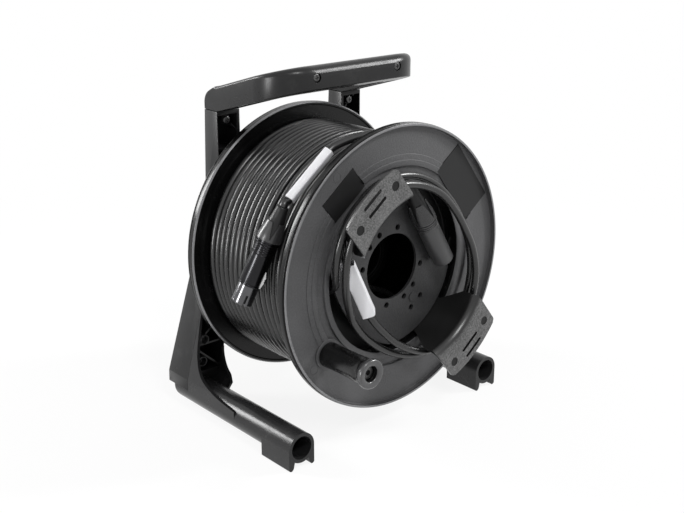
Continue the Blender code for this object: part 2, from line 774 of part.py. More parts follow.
def trim_cell(corners, side, half_rib):
    # Cell edges along a wall keep the wall's thickness; edges along a rib keep half a rib.
    count = len(corners)
    middle = Vector((sum(c[0] for c in corners) / count, sum(c[1] for c in corners) / count))
    lines = []
    for i in range(count):
        a = Vector(corners[i])
        b = Vector(corners[(i + 1) % count])
        on_wall = any(all(abs(abs(end.x) - upright_sides(end.y)[wall]) < 1e-9 for end in (a, b))
                      for wall in (0, 1))
        normal = Vector((a.y - b.y, b.x - a.x)).normalized()
        if (middle - a).dot(normal) < 0:
            normal = -normal
        lines.append((a + normal * (frame_wall if on_wall else half_rib), b - a))
    result = []
    for i in range(count):
        p, u = lines[i - 1]
        q, v = lines[i]
        t = (q - p).cross(v) / u.cross(v)
        result.append(tuple(p + u * t))
    return result


def upright_bosses(side):
    low = foot_top + frame_wall
    high = upright_top - frame_wall
    places = []
    for share, across in ((0.03, 0.66), (0.118, 0.72), (0.965, 0.5)):
        height = low + (high - low) * share + boss_radius
        height = min(height, high - boss_radius * 1.4)
        inner, outer = upright_sides(height)
        places.append((side * (inner + (outer - inner) * across), height))
    return places


# Bridge between the uprights, with ribs behind and a bore for the spindle
def bridge_end(level):
    return upright_sides(axis_height + level)[0] - touch_gap


def bridge_screw_place(side, level):
    # The head rests on the inside of the upright's inner wall; the shank runs square to the wall.
    height = level * bridge_screw_height
    slope = (bridge_end(height + frame_wall) - bridge_end(height - frame_wall)) / (2 * frame_wall)
    inward = Vector((-side, 0, slope)).normalized()
    wall_face = Vector((side * (bridge_end(height) + touch_gap), frame_face + bridge_depth / 2, height))
    return wall_face - inward * (frame_wall + touch_gap), inward


def bridge_screw_hole(side_name, side, level_name, level):
    place, inward = bridge_screw_place(side, level)
    reach = 2 * frame_wall
    radius = screw_shank_radius + touch_gap
    deep = frame_wall + reach
    profile = [(0, -frame_wall), (radius, -frame_wall), (radius, deep), (0, deep)]
    hole = turned("bridge_hole_shape_%s_%s" % (side_name, level_name), profile, None, drum_axis_still, 8)
    return aim(hole, place, inward)


def bridge():
    hub = bridge_hub_radius
    start = 180 / pi * atan2(bridge_waist, sqrt(hub ** 2 - bridge_waist ** 2))
    high = bridge_half_height
    outline = [(bridge_end(-high), -high), (bridge_end(high), high)] + arc((0, 0), hub, start, 180 - start, 10)
    outline += [(-bridge_end(high), high), (-bridge_end(-high), -high)]
    outline += arc((0, 0), hub, 180 + start, 360 - start, 10)
    rear = frame_face + bridge_depth
    item = prism("bridge", outline, "Y", frame_face, rear, frame_plastic, drum_axis_still)
    bm = bmesh.new()
    bore = spindle_diameter / 2 + touch_gap
    prism_mesh(bm, arc((0, 0), bore, 0, 345, 23), "Y", frame_face - frame_wall, rear + frame_wall)
    wall = frame_wall
    for i in range(8):
        first = 45 * i + 4
        last = first + 37
        ring = arc((0, 0), hub - wall, first, last, 3) + arc((0, 0), bore + 1.5 * wall, last, first, 3)
        prism_mesh(bm, ring, "Y", frame_face + wall, rear + wall)
    pocket_high = high - 2 * wall
    for side in (-1, 1):
        for up in (-1, 1):
            corners = [(side * (hub + wall), up * rib_thickness / 2),
                       (side * (bridge_end(0) - wall), up * rib_thickness / 2),
                       (side * (bridge_end(up * pocket_high) - wall), up * pocket_high),
                       (side * (hub + wall), up * (bridge_waist - wall))]
            prism_mesh(bm, corners, "Y", frame_face + wall, rear + wall)
    shape_with(item, "DIFFERENCE", add_mesh("bridge_pocket_shape", bm, None, drum_axis_still))
    for side_name, side in (("left", -1), ("right", 1)):
        for level_name, level in (("low", -1), ("high", 1)):
            hole = bpy.data.objects["bridge_hole_shape_%s_%s" % (side_name, level_name)]
            shape_with(item, "DIFFERENCE", hole)
            place, inward = bridge_screw_place(side, level)
            screw("bridge_screw_%s_%s" % (side_name, level_name), place, inward, dark_steel, drum_axis_still)
    return item


# Foot: a bored tube with a two-legged pad in front and gusset plates up to the upright.
# Each sweep is a gusset's front edge from its tip to its top: shares of the length and of the height.
outer_sweep = ((1.0, 0.0), (1.0, 0.083), (0.68, 0.12), (0.36, 0.19), (0.22, 0.26), (0.14, 0.35), (0.085, 0.46),
               (0.045, 0.62), (0.02, 0.8), (0.004, 1.0))
inner_sweep = ((1.0, 0.0), (1.0, 0.24), (0.72, 0.36), (0.42, 0.5), (0.2, 0.68), (0.07, 0.85), (0.01, 1.0))


def gusset_mesh(bm, side, edge, length, height, sweep):
    # The plate leans with the upright's wall, edge 0 the inner one and edge 1 the outer one.
    back = frame_face - touch_gap
    outward = 1 if edge else -1
    levels = sorted([(foot_axis_height + touch_gap + share_up * height, back - share_out * length)
                     for share_out, share_up in sweep if share_up > 0]
                    + [(foot_axis_height + touch_gap, back - sweep[0][0] * length)])
    kink = [(z0, y0, z1, y1) for (z0, y0), (z1, y1) in zip(levels, levels[1:]) if z0 < foot_top < z1]
    levels += [(foot_top, y0 + (y1 - y0) * (foot_top - z0) / (z1 - z0)) for z0, y0, z1, y1 in kink]
    rings = []
    for z, front in sorted(levels):
        wall = upright_sides(z)[edge]
        near = side * wall
        far = side * (wall - outward * gusset_thickness)
        ring = ((near, front), (near, back), (far, back), (far, front))
        rings.append([bm.verts.new((x, y, z)) for x, y in ring])
    for low, high in zip(rings, rings[1:]):
        for k in range(4):
            bm.faces.new((low[k - 1], low[k], high[k], high[k - 1]))
    bm.faces.new(rings[0])
    bm.faces.new(rings[-1])


def foot(side_name, side):
    radius = foot_outer_radius
    x = side * foot_axis_x
    z = foot_axis_height
    rear = stance_rear - foot_end_rounding / 2
    item = turned("foot_" + side_name, [(0, rear), (radius - foot_end_rounding, rear)]
                  + [(r, y) for r, y in arc((radius - foot_end_rounding, rear - foot_end_rounding),
                                            foot_end_rounding, 60, 0, 3)]
                  + [(radius, foot_front), (0, foot_front)], frame_plastic, reel, 24)
    item.location = (x, 0, z)
    tip = leg_tip_radius
    flat = leg_flat / 2
    left_tip = [(-radius, tip - z), (-radius + 0.3 * tip, 0.3 * tip - z), (-radius + tip - flat, -z),
                (-radius + tip + flat, -z), (-radius + 1.9 * tip, 0.4 * tip - z)]
    left_leg = [(-radius, 0)] + left_tip + [(-0.55 * radius, -0.8 * radius)]
    outline = left_leg + [(-u, v) for u, v in reversed(left_leg)]
    pad = prism("pad_shape_" + side_name, outline, "Y", foot_front, foot_front + foot_pad_length, parent=reel)
    pad.location = (x, 0, z)
    shape_with(item, "UNION", pad)
    bm = bmesh.new()
    for edge, length, height, sweep in ((1, outer_gusset_length, outer_gusset_height, outer_sweep),
                                        (0, inner_gusset_length, inner_gusset_height, inner_sweep)):
        gusset_mesh(bm, side, edge, length, height, sweep)
    shape_with(item, "UNION", add_mesh("gusset_shape_" + side_name, bm, None, reel))
    bore_end = frame_face
    bore = turned("foot_bore_shape_" + side_name, [(0, bore_end), (foot_bore_diameter / 2, bore_end),
                  (foot_bore_diameter / 2, foot_front - tip), (0, foot_front - tip)], None, reel, 24)
    bore.location = (x, 0, z)
    return shape_with(item, "DIFFERENCE", bore)


# Handle: a rounded bar bent to a U, rising forward from the uprights, hollow below its arms
def handle_path():
    # The bar's middle line seen from above, as (x, y, direction of travel).
    back = frame_face + frame_depth_top
    front = frame_face - handle_reach
    corner = handle_corner_radius
    middle = handle_half_width - upright_width / 2
    left = [(-middle, back, -90), (-middle, frame_face, -90)]
    centre = (-(handle_half_width - corner), front + corner)
    bend = arc(centre, corner - upright_width / 2, 180, 270, 7)
    left += [(x, y, -90 + 90 * k / 7) for k, (x, y) in enumerate(bend)]
    return left + [(-x, y, -angle) for x, y, angle in reversed(left)]


def handle():
    top = upright_top + touch_gap
    back = frame_face + frame_depth_top
    front = frame_face - handle_reach
    lift = handle_height
    half = upright_width / 2

    def under(y):
        return top + max(frame_face - y, 0) * handle_slope

    soft = handle_rounding
    low = handle_under_rounding
    section = rounded([(-half, 0, low), (half, 0, low), (half, lift, soft), (-half, lift, soft)], 3)
    bm = bmesh.new()
    rings = []
    for x, y, angle in handle_path():
        across_x = -sin(radians(angle))
        across_y = cos(radians(angle))
        ring = []
        for across, up in section:
            place_y = y + across_y * across
            ring.append(bm.verts.new((x + across_x * across, place_y, under(place_y) + up)))
        rings.append(ring)
    for first, last in zip(rings, rings[1:]):
        for k in range(len(section)):
            bm.faces.new((first[k - 1], first[k], last[k], last[k - 1]))
    bm.faces.new(rings[0])
    bm.faces.new(rings[-1])
    item = add_mesh("handle", bm, frame_plastic, reel)
    far = back + frame_wall
    rear_round = handle_rear_rounding
    profile = rounded([(back, top - frame_wall, 0), (back, top + lift * 0.6, rear_round * 0.5),
                       (frame_face + 0.1 * frame_depth_top, top + lift, rear_round),
                       (front - far, under(front - far) + lift, 0), (front - far, top - frame_wall, 0)], 4)
    trim = prism("handle_rear_shape", profile, "X", -2 * handle_half_width, 2 * handle_half_width, parent=reel)
    shape_with(item, "INTERSECT", trim)
    skin = handle_skin
    near = front + 0.85 * handle_corner_radius
    rear = frame_face - skin
    hollow = [(rear, top - skin), (rear, under(rear) + lift - skin), (near, under(near) + lift - skin),
              (near, top - skin)]
    bm = bmesh.new()
    for side in (-1, 1):
        first = side * (handle_half_width - upright_width + skin)
        last = side * (handle_half_width - skin)
        prism_mesh(bm, hollow, "X", min(first, last), max(first, last))
    shape_with(item, "DIFFERENCE", add_mesh("handle_hollow_shape", bm, None, reel))
    height = under(front) + lift * 0.45
    bm = bmesh.new()
    for side in (-1, 1):
        place = Vector((side * grip_screw_spacing / 2, front + grip_recess_depth, height))
        screw_hole_mesh(bm, place, grip_recess_depth + skin)
    shape_with(item, "DIFFERENCE", add_mesh("grip_recess_shape", bm, None, reel))
    for side_name, side in (("left", -1), ("right", 1)):
        place = (side * grip_screw_spacing / 2, front + grip_recess_depth - touch_gap, height)
        screw("grip_screw_" + side_name, place, (0, 1, 0), dark_steel, reel)
    return item


# Crank knob on its bolt
def crank_knob():
    end = -knob_length
    waist = end * 0.76
    socket = knob_socket_radius
    bore = knob_bolt_radius + running_gap
    rim = knob_end_radius
    profile = [(bore, 0), (knob_base_radius, 0), (knob_base_radius, end * 0.06),
               (knob_waist_radius * 0.98, end * 0.35), (knob_waist_radius, end * 0.6),
               (knob_waist_radius * 1.03, waist), (knob_waist_radius * 0.98, end * 0.85),
               (rim * 0.93, end * 0.9), (rim, end * 0.945),
               (rim * 0.98, end * 0.98), (rim * 0.9, end), (socket * 1.15, end * 0.985), (socket, end * 0.97),
               (socket, end + knob_socket_depth), (bore, end + knob_socket_depth)]
    return turned("crank_knob", profile, knob_plastic, knob_axis, 18)


def knob_bolt():
    head = -(knob_length - knob_socket_depth) - running_gap
    radius = knob_bolt_radius
    head_radius = knob_socket_radius - 2 * running_gap
    thickness = knob_socket_depth * 0.4
    profile = [(0, 0), (radius, 0), (radius, head), (head_radius, head), (head_radius, head - thickness * 0.7),
               (head_radius * 0.8, head - thickness), (head_radius * 0.45, head - thickness),
               (head_radius * 0.45, head - thickness * 0.4), (0, head - thickness * 0.4)]
    bolt = turned("knob_bolt", profile, dark_steel, drum_axis, 16)
    bolt.location = knob_axis.location
    return bolt


# Winding: a plain core of inner layers under one outer layer of turns
def cable_core():
    inner = barrel_radius + touch_gap
    flat = 1 - cos(pi / points_per_turn)
    outer = winding_radius * (1 - flat) - cable_radius - touch_gap
    end = plate_back - touch_gap
    profile = [(inner, -end), (outer, -end), (outer, end), (inner, end)]
    return turned("cable_core", profile, cable_jacket, drum_axis, flange_segments)


def winding_points():
    # The turns lie from the rear flange to the front one, with one wider gap among them.
    pitch = cable_diameter + turn_gap
    used = pitch * turns + wide_gap
    start = used / 2
    points = []
    for i in range(turns * points_per_turn + 1):
        turn = i / points_per_turn
        ease = min(max(turn - wide_gap_turn + 0.5, 0), 1)
        y = start - pitch * turn - wide_gap * ease * ease * (3 - 2 * ease)
        x, z = polar(winding_radius, winding_end_angle + 360 * turn)
        points.append(Vector((x, y, z)))
    return points


def least_gap(points, diameter, skip):
    # The closest two stretches of a tube come to each other, beyond the stretch's own neighbours.
    least = 1.0
    for i, here in enumerate(points):
        for there in points[i + skip:]:
            least = min(least, (here - there).length)
    return least - diameter


def cable_winding():
    points = winding_points()
    print("cable_winding least gap to itself: %.2f mm" % (least_gap(points, cable_diameter, 12) / mm))
    return cable_tube("cable_winding", points, cable_radius, 1, cable_jacket, drum_axis)


# Places round the drum axis: (radius, angle, depth along Y)
def around(radius, angle, depth):
    x, z = polar(radius, angle)
    return Vector((x, depth, z))


def above_winding(lift, angle, along):
    # The lift is in cable diameters over the outer layer, the place along the axis a share of half the drum.
    return around(winding_radius + lift * cable_diameter, angle, -along * half_width)


outer_tail_end = above_winding(2.75, 146, 0.602)
outer_nose_end = above_winding(3.73, 184.6, 0.2695)
outer_direction = (outer_nose_end - outer_tail_end).normalized()
outer_sleeve_ends = (above_winding(2.417, 118.1, 0.65), above_winding(2.15, 142.4, 0.585))


def along_sleeve(ends):
    # Route points that hold the cable straight from end to end of a sleeve.
    start, end = ends
    lead = (end - start).normalized() * cable_radius
    return [start - lead, start, start.lerp(end, 0.5), end, end + lead]


# Where the loose end leaves the winding: (degrees on, lift, cable diameters towards the rear)
outer_lift_stops = ((12, 0.267, 0), (23, 0.833, 0.2), (36, 1.583, 0.833), (48, 2.067, 1.583))


def outer_tail_route():
    first = winding_points()[-1]
    lead = (first - winding_points()[-2]).normalized()
    start = first + lead * touch_gap
    boot_face = outer_tail_end - outer_direction * touch_gap
    route = [start, start + lead * cable_diameter]
    for turn, lift, back in outer_lift_stops:
        route.append(around(winding_radius + lift * cable_diameter, winding_end_angle + turn,
                            first.y + back * cable_diameter))
    return route + [*along_sleeve(outer_sleeve_ends), boot_face - outer_direction * cable_radius, boot_face]


def cable_outer_tail():
    points, length = smooth_route(outer_tail_route(), 25)
    print("cable_outer_tail length: %.0f mm" % (length / mm))
    return cable_tube("cable_outer_tail", points, cable_radius, 2, cable_jacket, drum_axis)


# The inner end: loops stored round the retainers in front of the flange
def before_plate(share, angle, diameters):
    # A place before the flange: a share of the opening's radius, and cable diameters off the plate.
    return around(share * opening_radius, angle, -(plate_face + diameters * cable_diameter))


inner_nose_end = before_plate(0.6967, -3, 1.05)
inner_direction = Vector((sin(radians(inner_plug_lean)), 0, -cos(radians(inner_plug_lean))))
inner_tail_end = inner_nose_end - inner_direction * plug_length
inner_sleeve_ends = (before_plate(0.901, 162, 1.783), before_plate(0.662, 215, 1.95))

# Each stop is (angle, share of the opening's radius, cable diameters before the flange plate); the empty
# one is the sleeve.
inner_loop_stops = (
    (104, 1.113, 1.28), (118, 1.134, 1.45), (137, 1.127, 1.62), (150, 1.063, 1.70), None,
    (238, 0.711, 2.17), (262, 0.852, 2.37), (282, 1.042, 2.70), (296, 1.141, 2.95), (310, 1.176, 3.12),
    (326, 1.169, 3.28), (345, 1.085, 3.45), (4, 0.972, 3.62), (24, 0.880, 3.78), (46, 0.873, 3.95),
    (68, 0.944, 4.03), (88, 1.028, 4.03), (106, 1.120, 4.03), (120, 1.134, 4.03), (138, 1.127, 3.87),
    (154, 1.070, 3.45), (172, 0.965, 2.78), (192, 0.873, 1.87), (214, 0.845, 1.20), (238, 0.873, 0.95),
    (262, 0.986, 1.12), (282, 1.127, 1.37), (296, 1.197, 1.53), (310, 1.218, 1.62), (326, 1.211, 1.70),
    (345, 1.141, 1.87), (4, 1.049, 2.03), (24, 0.972, 2.28), (46, 0.965, 2.53), (68, 1.028, 2.65),
    (88, 1.113, 2.70), (106, 1.183, 2.75), (120, 1.190, 2.75), (137, 1.190, 2.70), (150, 1.155, 2.50),
    (161, 1.092, 2.12), (171, 1.011, 1.53), (179, 0.946, 0.62))

# Behind the web the cable crosses the drum to the barrel's wall. Each stop is (angle, share of the opening's
# radius, share of the way from the web's back to the spindle's front).
inner_lead_stops = ((190.5, 0.866, 0.30), (194, 0.718, 0.37), (204, 0.479, 0.38), (231, 0.321, 0.39),
                    (272, 0.373, 0.53), (297, 0.542, 0.73), (306, 0.775, 0.93))


def inner_loop_route():
    boot_face = inner_tail_end - inner_direction * touch_gap
    route = [boot_face, boot_face - inner_direction * cable_diameter]
    for stop in inner_loop_stops:
        if stop:
            angle, share, diameters = stop
            route.append(before_plate(share, angle, diameters))
        else:
            route += along_sleeve(inner_sleeve_ends)
    radius, angle = cable_hole
    route.append(around(radius, angle, -(web_face + cable_radius)))
    route.append(around(radius, angle, -(web_face - web_thickness - touch_gap)))
    return route


def inner_lead_route(start):
    radius, angle = cable_hole
    back = web_face - web_thickness
    room = back - (spindle_reach - frame_face)
    route = [start, around(radius, angle, start.y + cable_radius)]
    for angle, share, deep in inner_lead_stops:
        route.append(around(share * opening_radius, angle, deep * room - back))
    wall_angle = inner_lead_stops[-1][0]
    depth = route[-1].y
    return route + [around(well_radius - 2 * cable_radius, wall_angle, depth),
                    around(well_radius - 3 * touch_gap, wall_angle, depth)]


def cable_inner_loops():
    points, length = smooth_route(inner_loop_route(), 61)
    lead, lead_length = smooth_route(inner_lead_route(points[-1]), 14)
    points += lead[1:]
    print("cable_inner_loops length: %.0f mm, least gap to itself: %.2f mm"
          % ((length + lead_length) / mm, least_gap(points, cable_diameter, 8) / mm))
    return cable_tube("cable_inner_loops", points, cable_radius, 2, cable_jacket, drum_axis)


# White label sleeves, each a flattened tube over the cable
def sleeve(name, ends, size, roll):
    start, end = ends
    direction = (end - start).normalized()
    middle = (start + end) / 2
    half = (end - start).length / 2
    wide, high = [side / 2 for side in size]
    corner = high * 0.45
    corners = [(-wide, -high, corner), (wide, -high, corner), (wide, high, corner), (-wide, high, corner)]
    outline = rounded(corners, 3)
    item = aim(prism(name, outline, "Y", -half, half, sleeve_white, drum_axis), middle, direction, roll)
    bore = prism(name + "_bore_shape", arc((0, 0), cable_radius + running_gap, 0, 330, 11), "Y",
                 -half - wide, half + wide, parent=drum_axis)
    aim(bore, middle, direction, roll)
    return shape_with(item, "DIFFERENCE", bore)


# Plug connectors: rubber boot, metal shell with a ribbed band, insulating insert with contacts
def plug_boot(name, start, direction, boot_length):
    length = boot_length - touch_gap
    profile = [(0, 0), (boot_tail_radius, 0), (boot_tail_radius * 1.06, length * 0.12),
               (boot_tail_radius * 1.25, length * 0.35), (boot_head_radius * 0.95, length * 0.82),
               (boot_head_radius, length), (0, length)]
    return aim(turned(name, profile, boot_rubber, drum_axis, 16), start, direction)


def plug_shell(name, start, direction, boot_length, look, nose_radius, roll=0.0):
    front = plug_length
    band_end = boot_length + band_length
    nose = front - nose_length
    socket = nose_radius - socket_wall
    low = boot_head_radius * 0.96
    high = boot_head_radius * 1.03
    profile = [(0, boot_length), (low, boot_length)]
    for k in range(band_ribs):
        place = boot_length + band_length * (k + 0.5) / band_ribs
        profile += [(high, place), (low, place + band_length * 0.3 / band_ribs)]
    profile += [(plug_radius * 0.94, band_end), (plug_radius * 0.94, band_end + band_length),
                (plug_radius, band_end + band_length + band_step), (plug_radius, nose - band_step),
                (nose_radius, nose), (nose_radius, front - nose_rounding),
                (nose_radius - nose_rounding, front), (socket, front), (socket, nose), (0, nose)]
    return aim(turned(name, profile, look, drum_axis, 18), start, direction, roll)


def contact_places(radius):
    return [(radius * cos(radians(a)), radius * sin(radians(a))) for a in (-150, -30, 90)]


def plug_insert(name, start, direction, nose_radius, roll, holes):
    radius = nose_radius - socket_wall - touch_gap
    base = plug_length - nose_length + touch_gap
    depth = nose_length - insert_inset if holes else 4 * mm
    profile = [(0, base), (radius, base), (radius, base + depth), (0, base + depth)]
    item = aim(turned(name, profile, boot_rubber, drum_axis, 16), start, direction, roll)
    bm = bmesh.new()
    hole_radius = contact_radius + touch_gap
    bottom = base + depth * (0.3 if holes else 0.5)
    for x, z in contact_places(contact_circle):
        prism_mesh(bm, arc((x, z), hole_radius, 0, 300, 5), "Y", bottom, base + 2 * depth)
    cutter = aim(add_mesh(name + "_hole_shape", bm, None, drum_axis), start, direction, roll)
    shape_with(item, "DIFFERENCE", cutter)
    return bottom


def outer_plug():
    start = outer_tail_end
    nose_radius = plug_radius * 0.95
    plug_boot("outer_boot", start, outer_direction, outer_boot_length)
    shell = plug_shell("outer_shell", start, outer_direction, outer_boot_length, black_chrome, nose_radius,
                       latch_roll)
    plug_insert("outer_insert", start, outer_direction, nose_radius, latch_roll, True)
    middle = plug_length - nose_length - latch_length * 0.75
    slot_floor = plug_radius - latch_height
    half_length = latch_length / 2
    half_across = latch_width / 2
    gap = running_gap
    room_across = half_across + gap
    room_along = half_length + gap
    outline = [(-room_across, middle - room_along), (room_across, middle - room_along),
               (room_across, middle + room_along), (-room_across, middle + room_along)]
    slot = prism("latch_slot_shape", outline, "Z", slot_floor, 2 * plug_radius, parent=drum_axis)
    aim(slot, start, outer_direction, latch_roll)
    shape_with(shell, "DIFFERENCE", slot)
    bottom = slot_floor + latch_travel + gap
    top = plug_radius + latch_travel
    side = [(middle - half_length, bottom), (middle + half_length, bottom),
            (middle + half_length, plug_radius), (middle, top), (middle - half_length * 0.8, top)]
    latch = prism("outer_latch", side, "X", -half_across, half_across, black_chrome, drum_axis)
    return aim(latch, start, outer_direction, latch_roll)


def inner_plug():
    start = inner_tail_end
    nose_radius = plug_radius
    plug_boot("inner_boot", start, inner_direction, inner_boot_length)
    plug_shell("inner_shell", start, inner_direction, inner_boot_length, boot_rubber, nose_radius)
    bottom = plug_insert("inner_insert", start, inner_direction, nose_radius, 0, False)
    for index, (x, z) in enumerate(contact_places(contact_circle), 1):
        profile = [(0, bottom + touch_gap), (contact_radius, bottom + touch_gap),
                   (contact_radius, plug_length - 2 * mm), (contact_radius * 0.5, plug_length - 1 * mm),
                   (0, plug_length - 1 * mm)]
        pin = aim(turned("inner_pin_%d" % index, profile, contact_gold, drum_axis, 6), start, inner_direction)
        pin.location = start + pin.rotation_quaternion @ Vector((x, 0, z))


front_flange()
label_plates()
rear_flange()
drum_barrel()
hub_plate()
for retainer_name, retainer_angle in retainer_angles.items():
    retainer("retainer_" + retainer_name, retainer_angle)
hub_screws()
bearing_sleeve()
spindle()
spindle_collar()
retaining_ring()
for side_name, side in (("left", -1), ("right", 1)):
    upright(side_name, side)
    foot(side_name, side)
bridge()
handle()
crank_knob()
knob_bolt()
cable_core()
cable_winding()
cable_outer_tail()
cable_inner_loops()
sleeve("outer_sleeve", outer_sleeve_ends, outer_sleeve_size, outer_sleeve_roll)
sleeve("inner_sleeve", inner_sleeve_ends, inner_sleeve_size, inner_sleeve_roll)
outer_plug()
inner_plug()
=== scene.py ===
from math import cos, pi, radians, sin, sqrt

import bpy
import bmesh
from mathutils import Matrix, Vector


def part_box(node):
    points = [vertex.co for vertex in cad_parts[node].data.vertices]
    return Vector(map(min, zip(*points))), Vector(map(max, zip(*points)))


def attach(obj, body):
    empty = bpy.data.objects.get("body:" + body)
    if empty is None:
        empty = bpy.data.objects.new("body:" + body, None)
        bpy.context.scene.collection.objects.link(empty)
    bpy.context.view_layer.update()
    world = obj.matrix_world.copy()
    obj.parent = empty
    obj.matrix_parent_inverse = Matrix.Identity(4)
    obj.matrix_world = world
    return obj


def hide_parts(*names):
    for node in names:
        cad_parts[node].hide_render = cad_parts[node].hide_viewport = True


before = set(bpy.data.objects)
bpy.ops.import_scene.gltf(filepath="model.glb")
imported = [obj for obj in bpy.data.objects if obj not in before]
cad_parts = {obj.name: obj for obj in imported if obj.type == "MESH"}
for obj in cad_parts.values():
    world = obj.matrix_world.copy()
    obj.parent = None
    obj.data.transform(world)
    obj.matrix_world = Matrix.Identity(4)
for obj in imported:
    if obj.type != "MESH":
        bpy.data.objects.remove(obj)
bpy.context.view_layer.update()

mm = 0.001
axisHeight = 137.2 * mm
frameShift = 5.45 * mm  # the reel's own middle lies this far behind the box's middle


class Settings(dict):
    # A dictionary whose entries also read as attributes
    __getattr__ = dict.__getitem__


def added(name, data):
    # A new object in the scene
    made = bpy.data.objects.new(name, data)
    bpy.context.scene.collection.objects.link(made)
    return made


# Camera and stage
cameraSettings = Settings(
    place=(-0.57035, -0.63372, 0.42721),
    turn=(90 - 19.045, 0, -41.483),
    lens=56.57,
    sensor=36,
)


def makeCamera():
    data = bpy.data.cameras.new("reelCamera")
    data.lens = cameraSettings.lens
    data.sensor_width = cameraSettings.sensor
    data.clip_start = 0.01
    camera = added("reelCamera", data)
    camera.location = cameraSettings.place
    camera.rotation_euler = [radians(angle) for angle in cameraSettings.turn]
    bpy.context.scene.camera = camera


stageSettings = Settings(
    floorSize=6,
    floorColour=(0.9, 0.9, 0.9),
    floorWhite=(0.88, 1),  # how far the floor is seen as plain white, under the reel and away from it
    floorFade=(0.3, 0.8),
    worldStrength=0.25,
    lamps=[
        # name, place, aimed at, width, height, power
        ("backLamp", (-0.96, 1.32, 0.8), (0, 0, 0.15), 0.34, 0.85, 24),
        ("leftLamp", (-1.75, 0.05, 0.27), (0, 0, 0.2), 0.3, 0.5, 13),
        ("rightLamp", (1.26, -0.8, 1.12), (0, 0, 0.2), 0.3, 0.6, 24),
        ("frontLamp", (-0.36, -1.17, 1.5), (0, 0, 0.15), 0.35, 0.3, 12),
    ],
)


# Shader building
class Link:
    # One socket, with arithmetic that adds Math nodes
    def __init__(self, graph, socket):
        self.graph = graph
        self.socket = socket

    def combine(self, operation, first, second):
        return self.graph.node("Math", {0: first, 1: second}, operation=operation)

    def __add__(self, other):
        return self.combine("ADD", self, other)

    def __sub__(self, other):
        return self.combine("SUBTRACT", self, other)

    def __mul__(self, other):
        return self.combine("MULTIPLY", self, other)

    def __rsub__(self, other):
        return self.combine("SUBTRACT", other, self)

    __radd__ = __add__
    __rmul__ = __mul__


class Graph:
    # A node tree under construction
    def __init__(self, tree):
        self.tree = tree

    def node(self, kind, values, output=0, **settings):
        made = self.tree.nodes.new("ShaderNode" + kind)
        for key, value in settings.items():
            setattr(made, key, value)
        for key, value in values.items():
            self.feed(made.inputs[key], value)
        return Link(self, made.outputs[output])

    def feed(self, socket, value):
        if isinstance(value, Link):
            self.tree.links.new(value.socket, socket)
        else:
            socket.default_value = value

    def place(self):
        return self.node("TexCoord", {}, "Object")

    def along(self, axis):
        return self.node("SeparateXYZ", {"Vector": self.place()}, axis)

    def noise(self, scale, detail, roughness=0.55):
        values = {"Vector": self.place(), "Scale": scale, "Detail": detail, "Roughness": roughness}
        return self.node("TexNoise", values, "Fac")

    def ramp(self, value, *stops):
        made = self.node("ValToRGB", {"Fac": value})
        for element, (place, level) in zip(made.socket.node.color_ramp.elements, stops):
            element.position = place
            element.color = grey(level)
        return made

    def rising(self, value, low, high):
        values = {"Value": value, "From Min": low, "From Max": high}
        return self.node("MapRange", values, interpolation_type="SMOOTHSTEP")

    def blendColours(self, share, first, second):
        return self.node("Mix", {"Factor": share, 6: first, 7: second}, 2, data_type="RGBA")

    def bump(self, height, distance):
        return self.node("Bump", {"Height": height, "Distance": distance})

    def seen(self):
        # 1 where the camera, or a gloss or glass that mirrors it, looks straight at the surface
        camera, gloss, glass = [self.node("LightPath", {}, "Is %s Ray" % kind)
            for kind in ("Camera", "Glossy", "Transmission")]
        return self.node("Math", {0: camera + gloss, 1: glass}, operation="ADD", use_clamp=True)


class Look(Graph):
    # A material under construction
    def __init__(self, name):
        self.material = bpy.data.materials.new(name)
        self.material.use_nodes = True
        super().__init__(self.material.node_tree)
        self.shader = self.tree.nodes["Principled BSDF"]

    def finish(self, **values):
        for name, value in values.items():
            self.feed(self.shader.inputs[name.replace("_", " ")], value)
        return self.material


def grey(level, tint=1):
    return (level, level, level * tint, 1)


def moulded(name, dark, light, rough, grain, depth, wear, specular):
    # Injection-moulded plastic: slow tone changes, a fine grain, and scuffs that dull it here and there
    look = Look(name)
    cloud = look.noise(14, 3)
    speck = look.noise(grain, 2, 0.6)
    scuff = look.ramp(look.noise(55, 5, 0.7), (0.56, 0), (0.72, 1))
    tone = look.blendColours(cloud * 0.5 + speck * 0.5, grey(dark, 1.03), grey(light, 1.03))
    colour = look.blendColours(scuff * wear, tone, grey(0.2))
    roughness = cloud * 0.10 + speck * 0.06 + scuff * 0.08 + (rough - 0.1)
    return look.finish(Base_Color=colour, Roughness=roughness, Specular_IOR_Level=specular,
        Normal=look.bump(speck, depth))


def grained(name, wall, lip, edge):
    # Smooth dark plastic whose front face, past the edge along Y, is pale and coarse
    look = Look(name)
    share = look.rising(look.along("Y") * -1, edge, edge + 0.0015)
    fine = look.noise(850, 3, 0.7)
    cloud = look.noise(60, 3)
    smooth = look.blendColours(cloud, grey(wall[0]), grey(wall[1]))
    speckle = look.ramp(fine * 0.8 + cloud * 0.2, (0.35, 0), (0.65, 1))
    coarse = look.blendColours(speckle, grey(lip[0]), grey(lip[1]))
    return look.finish(Base_Color=look.blendColours(share, smooth, coarse), Roughness=share * 0.2 + 0.28,
        Specular_IOR_Level=0.5, Normal=look.bump(fine * (share * 0.9 + 0.1), 0.00022))


def metal(name, dark, light, rough, streak):
    look = Look(name)
    fine = look.noise(streak, 4, 0.65)
    cloud = look.noise(60, 2)
    colour = look.blendColours(cloud * 0.5 + fine * 0.5, (*dark, 1), (*light, 1))
    return look.finish(Metallic=1, Base_Color=colour, Roughness=cloud * 0.12 + fine * 0.1 + (rough - 0.1),
        Normal=look.bump(fine, 0.00002))


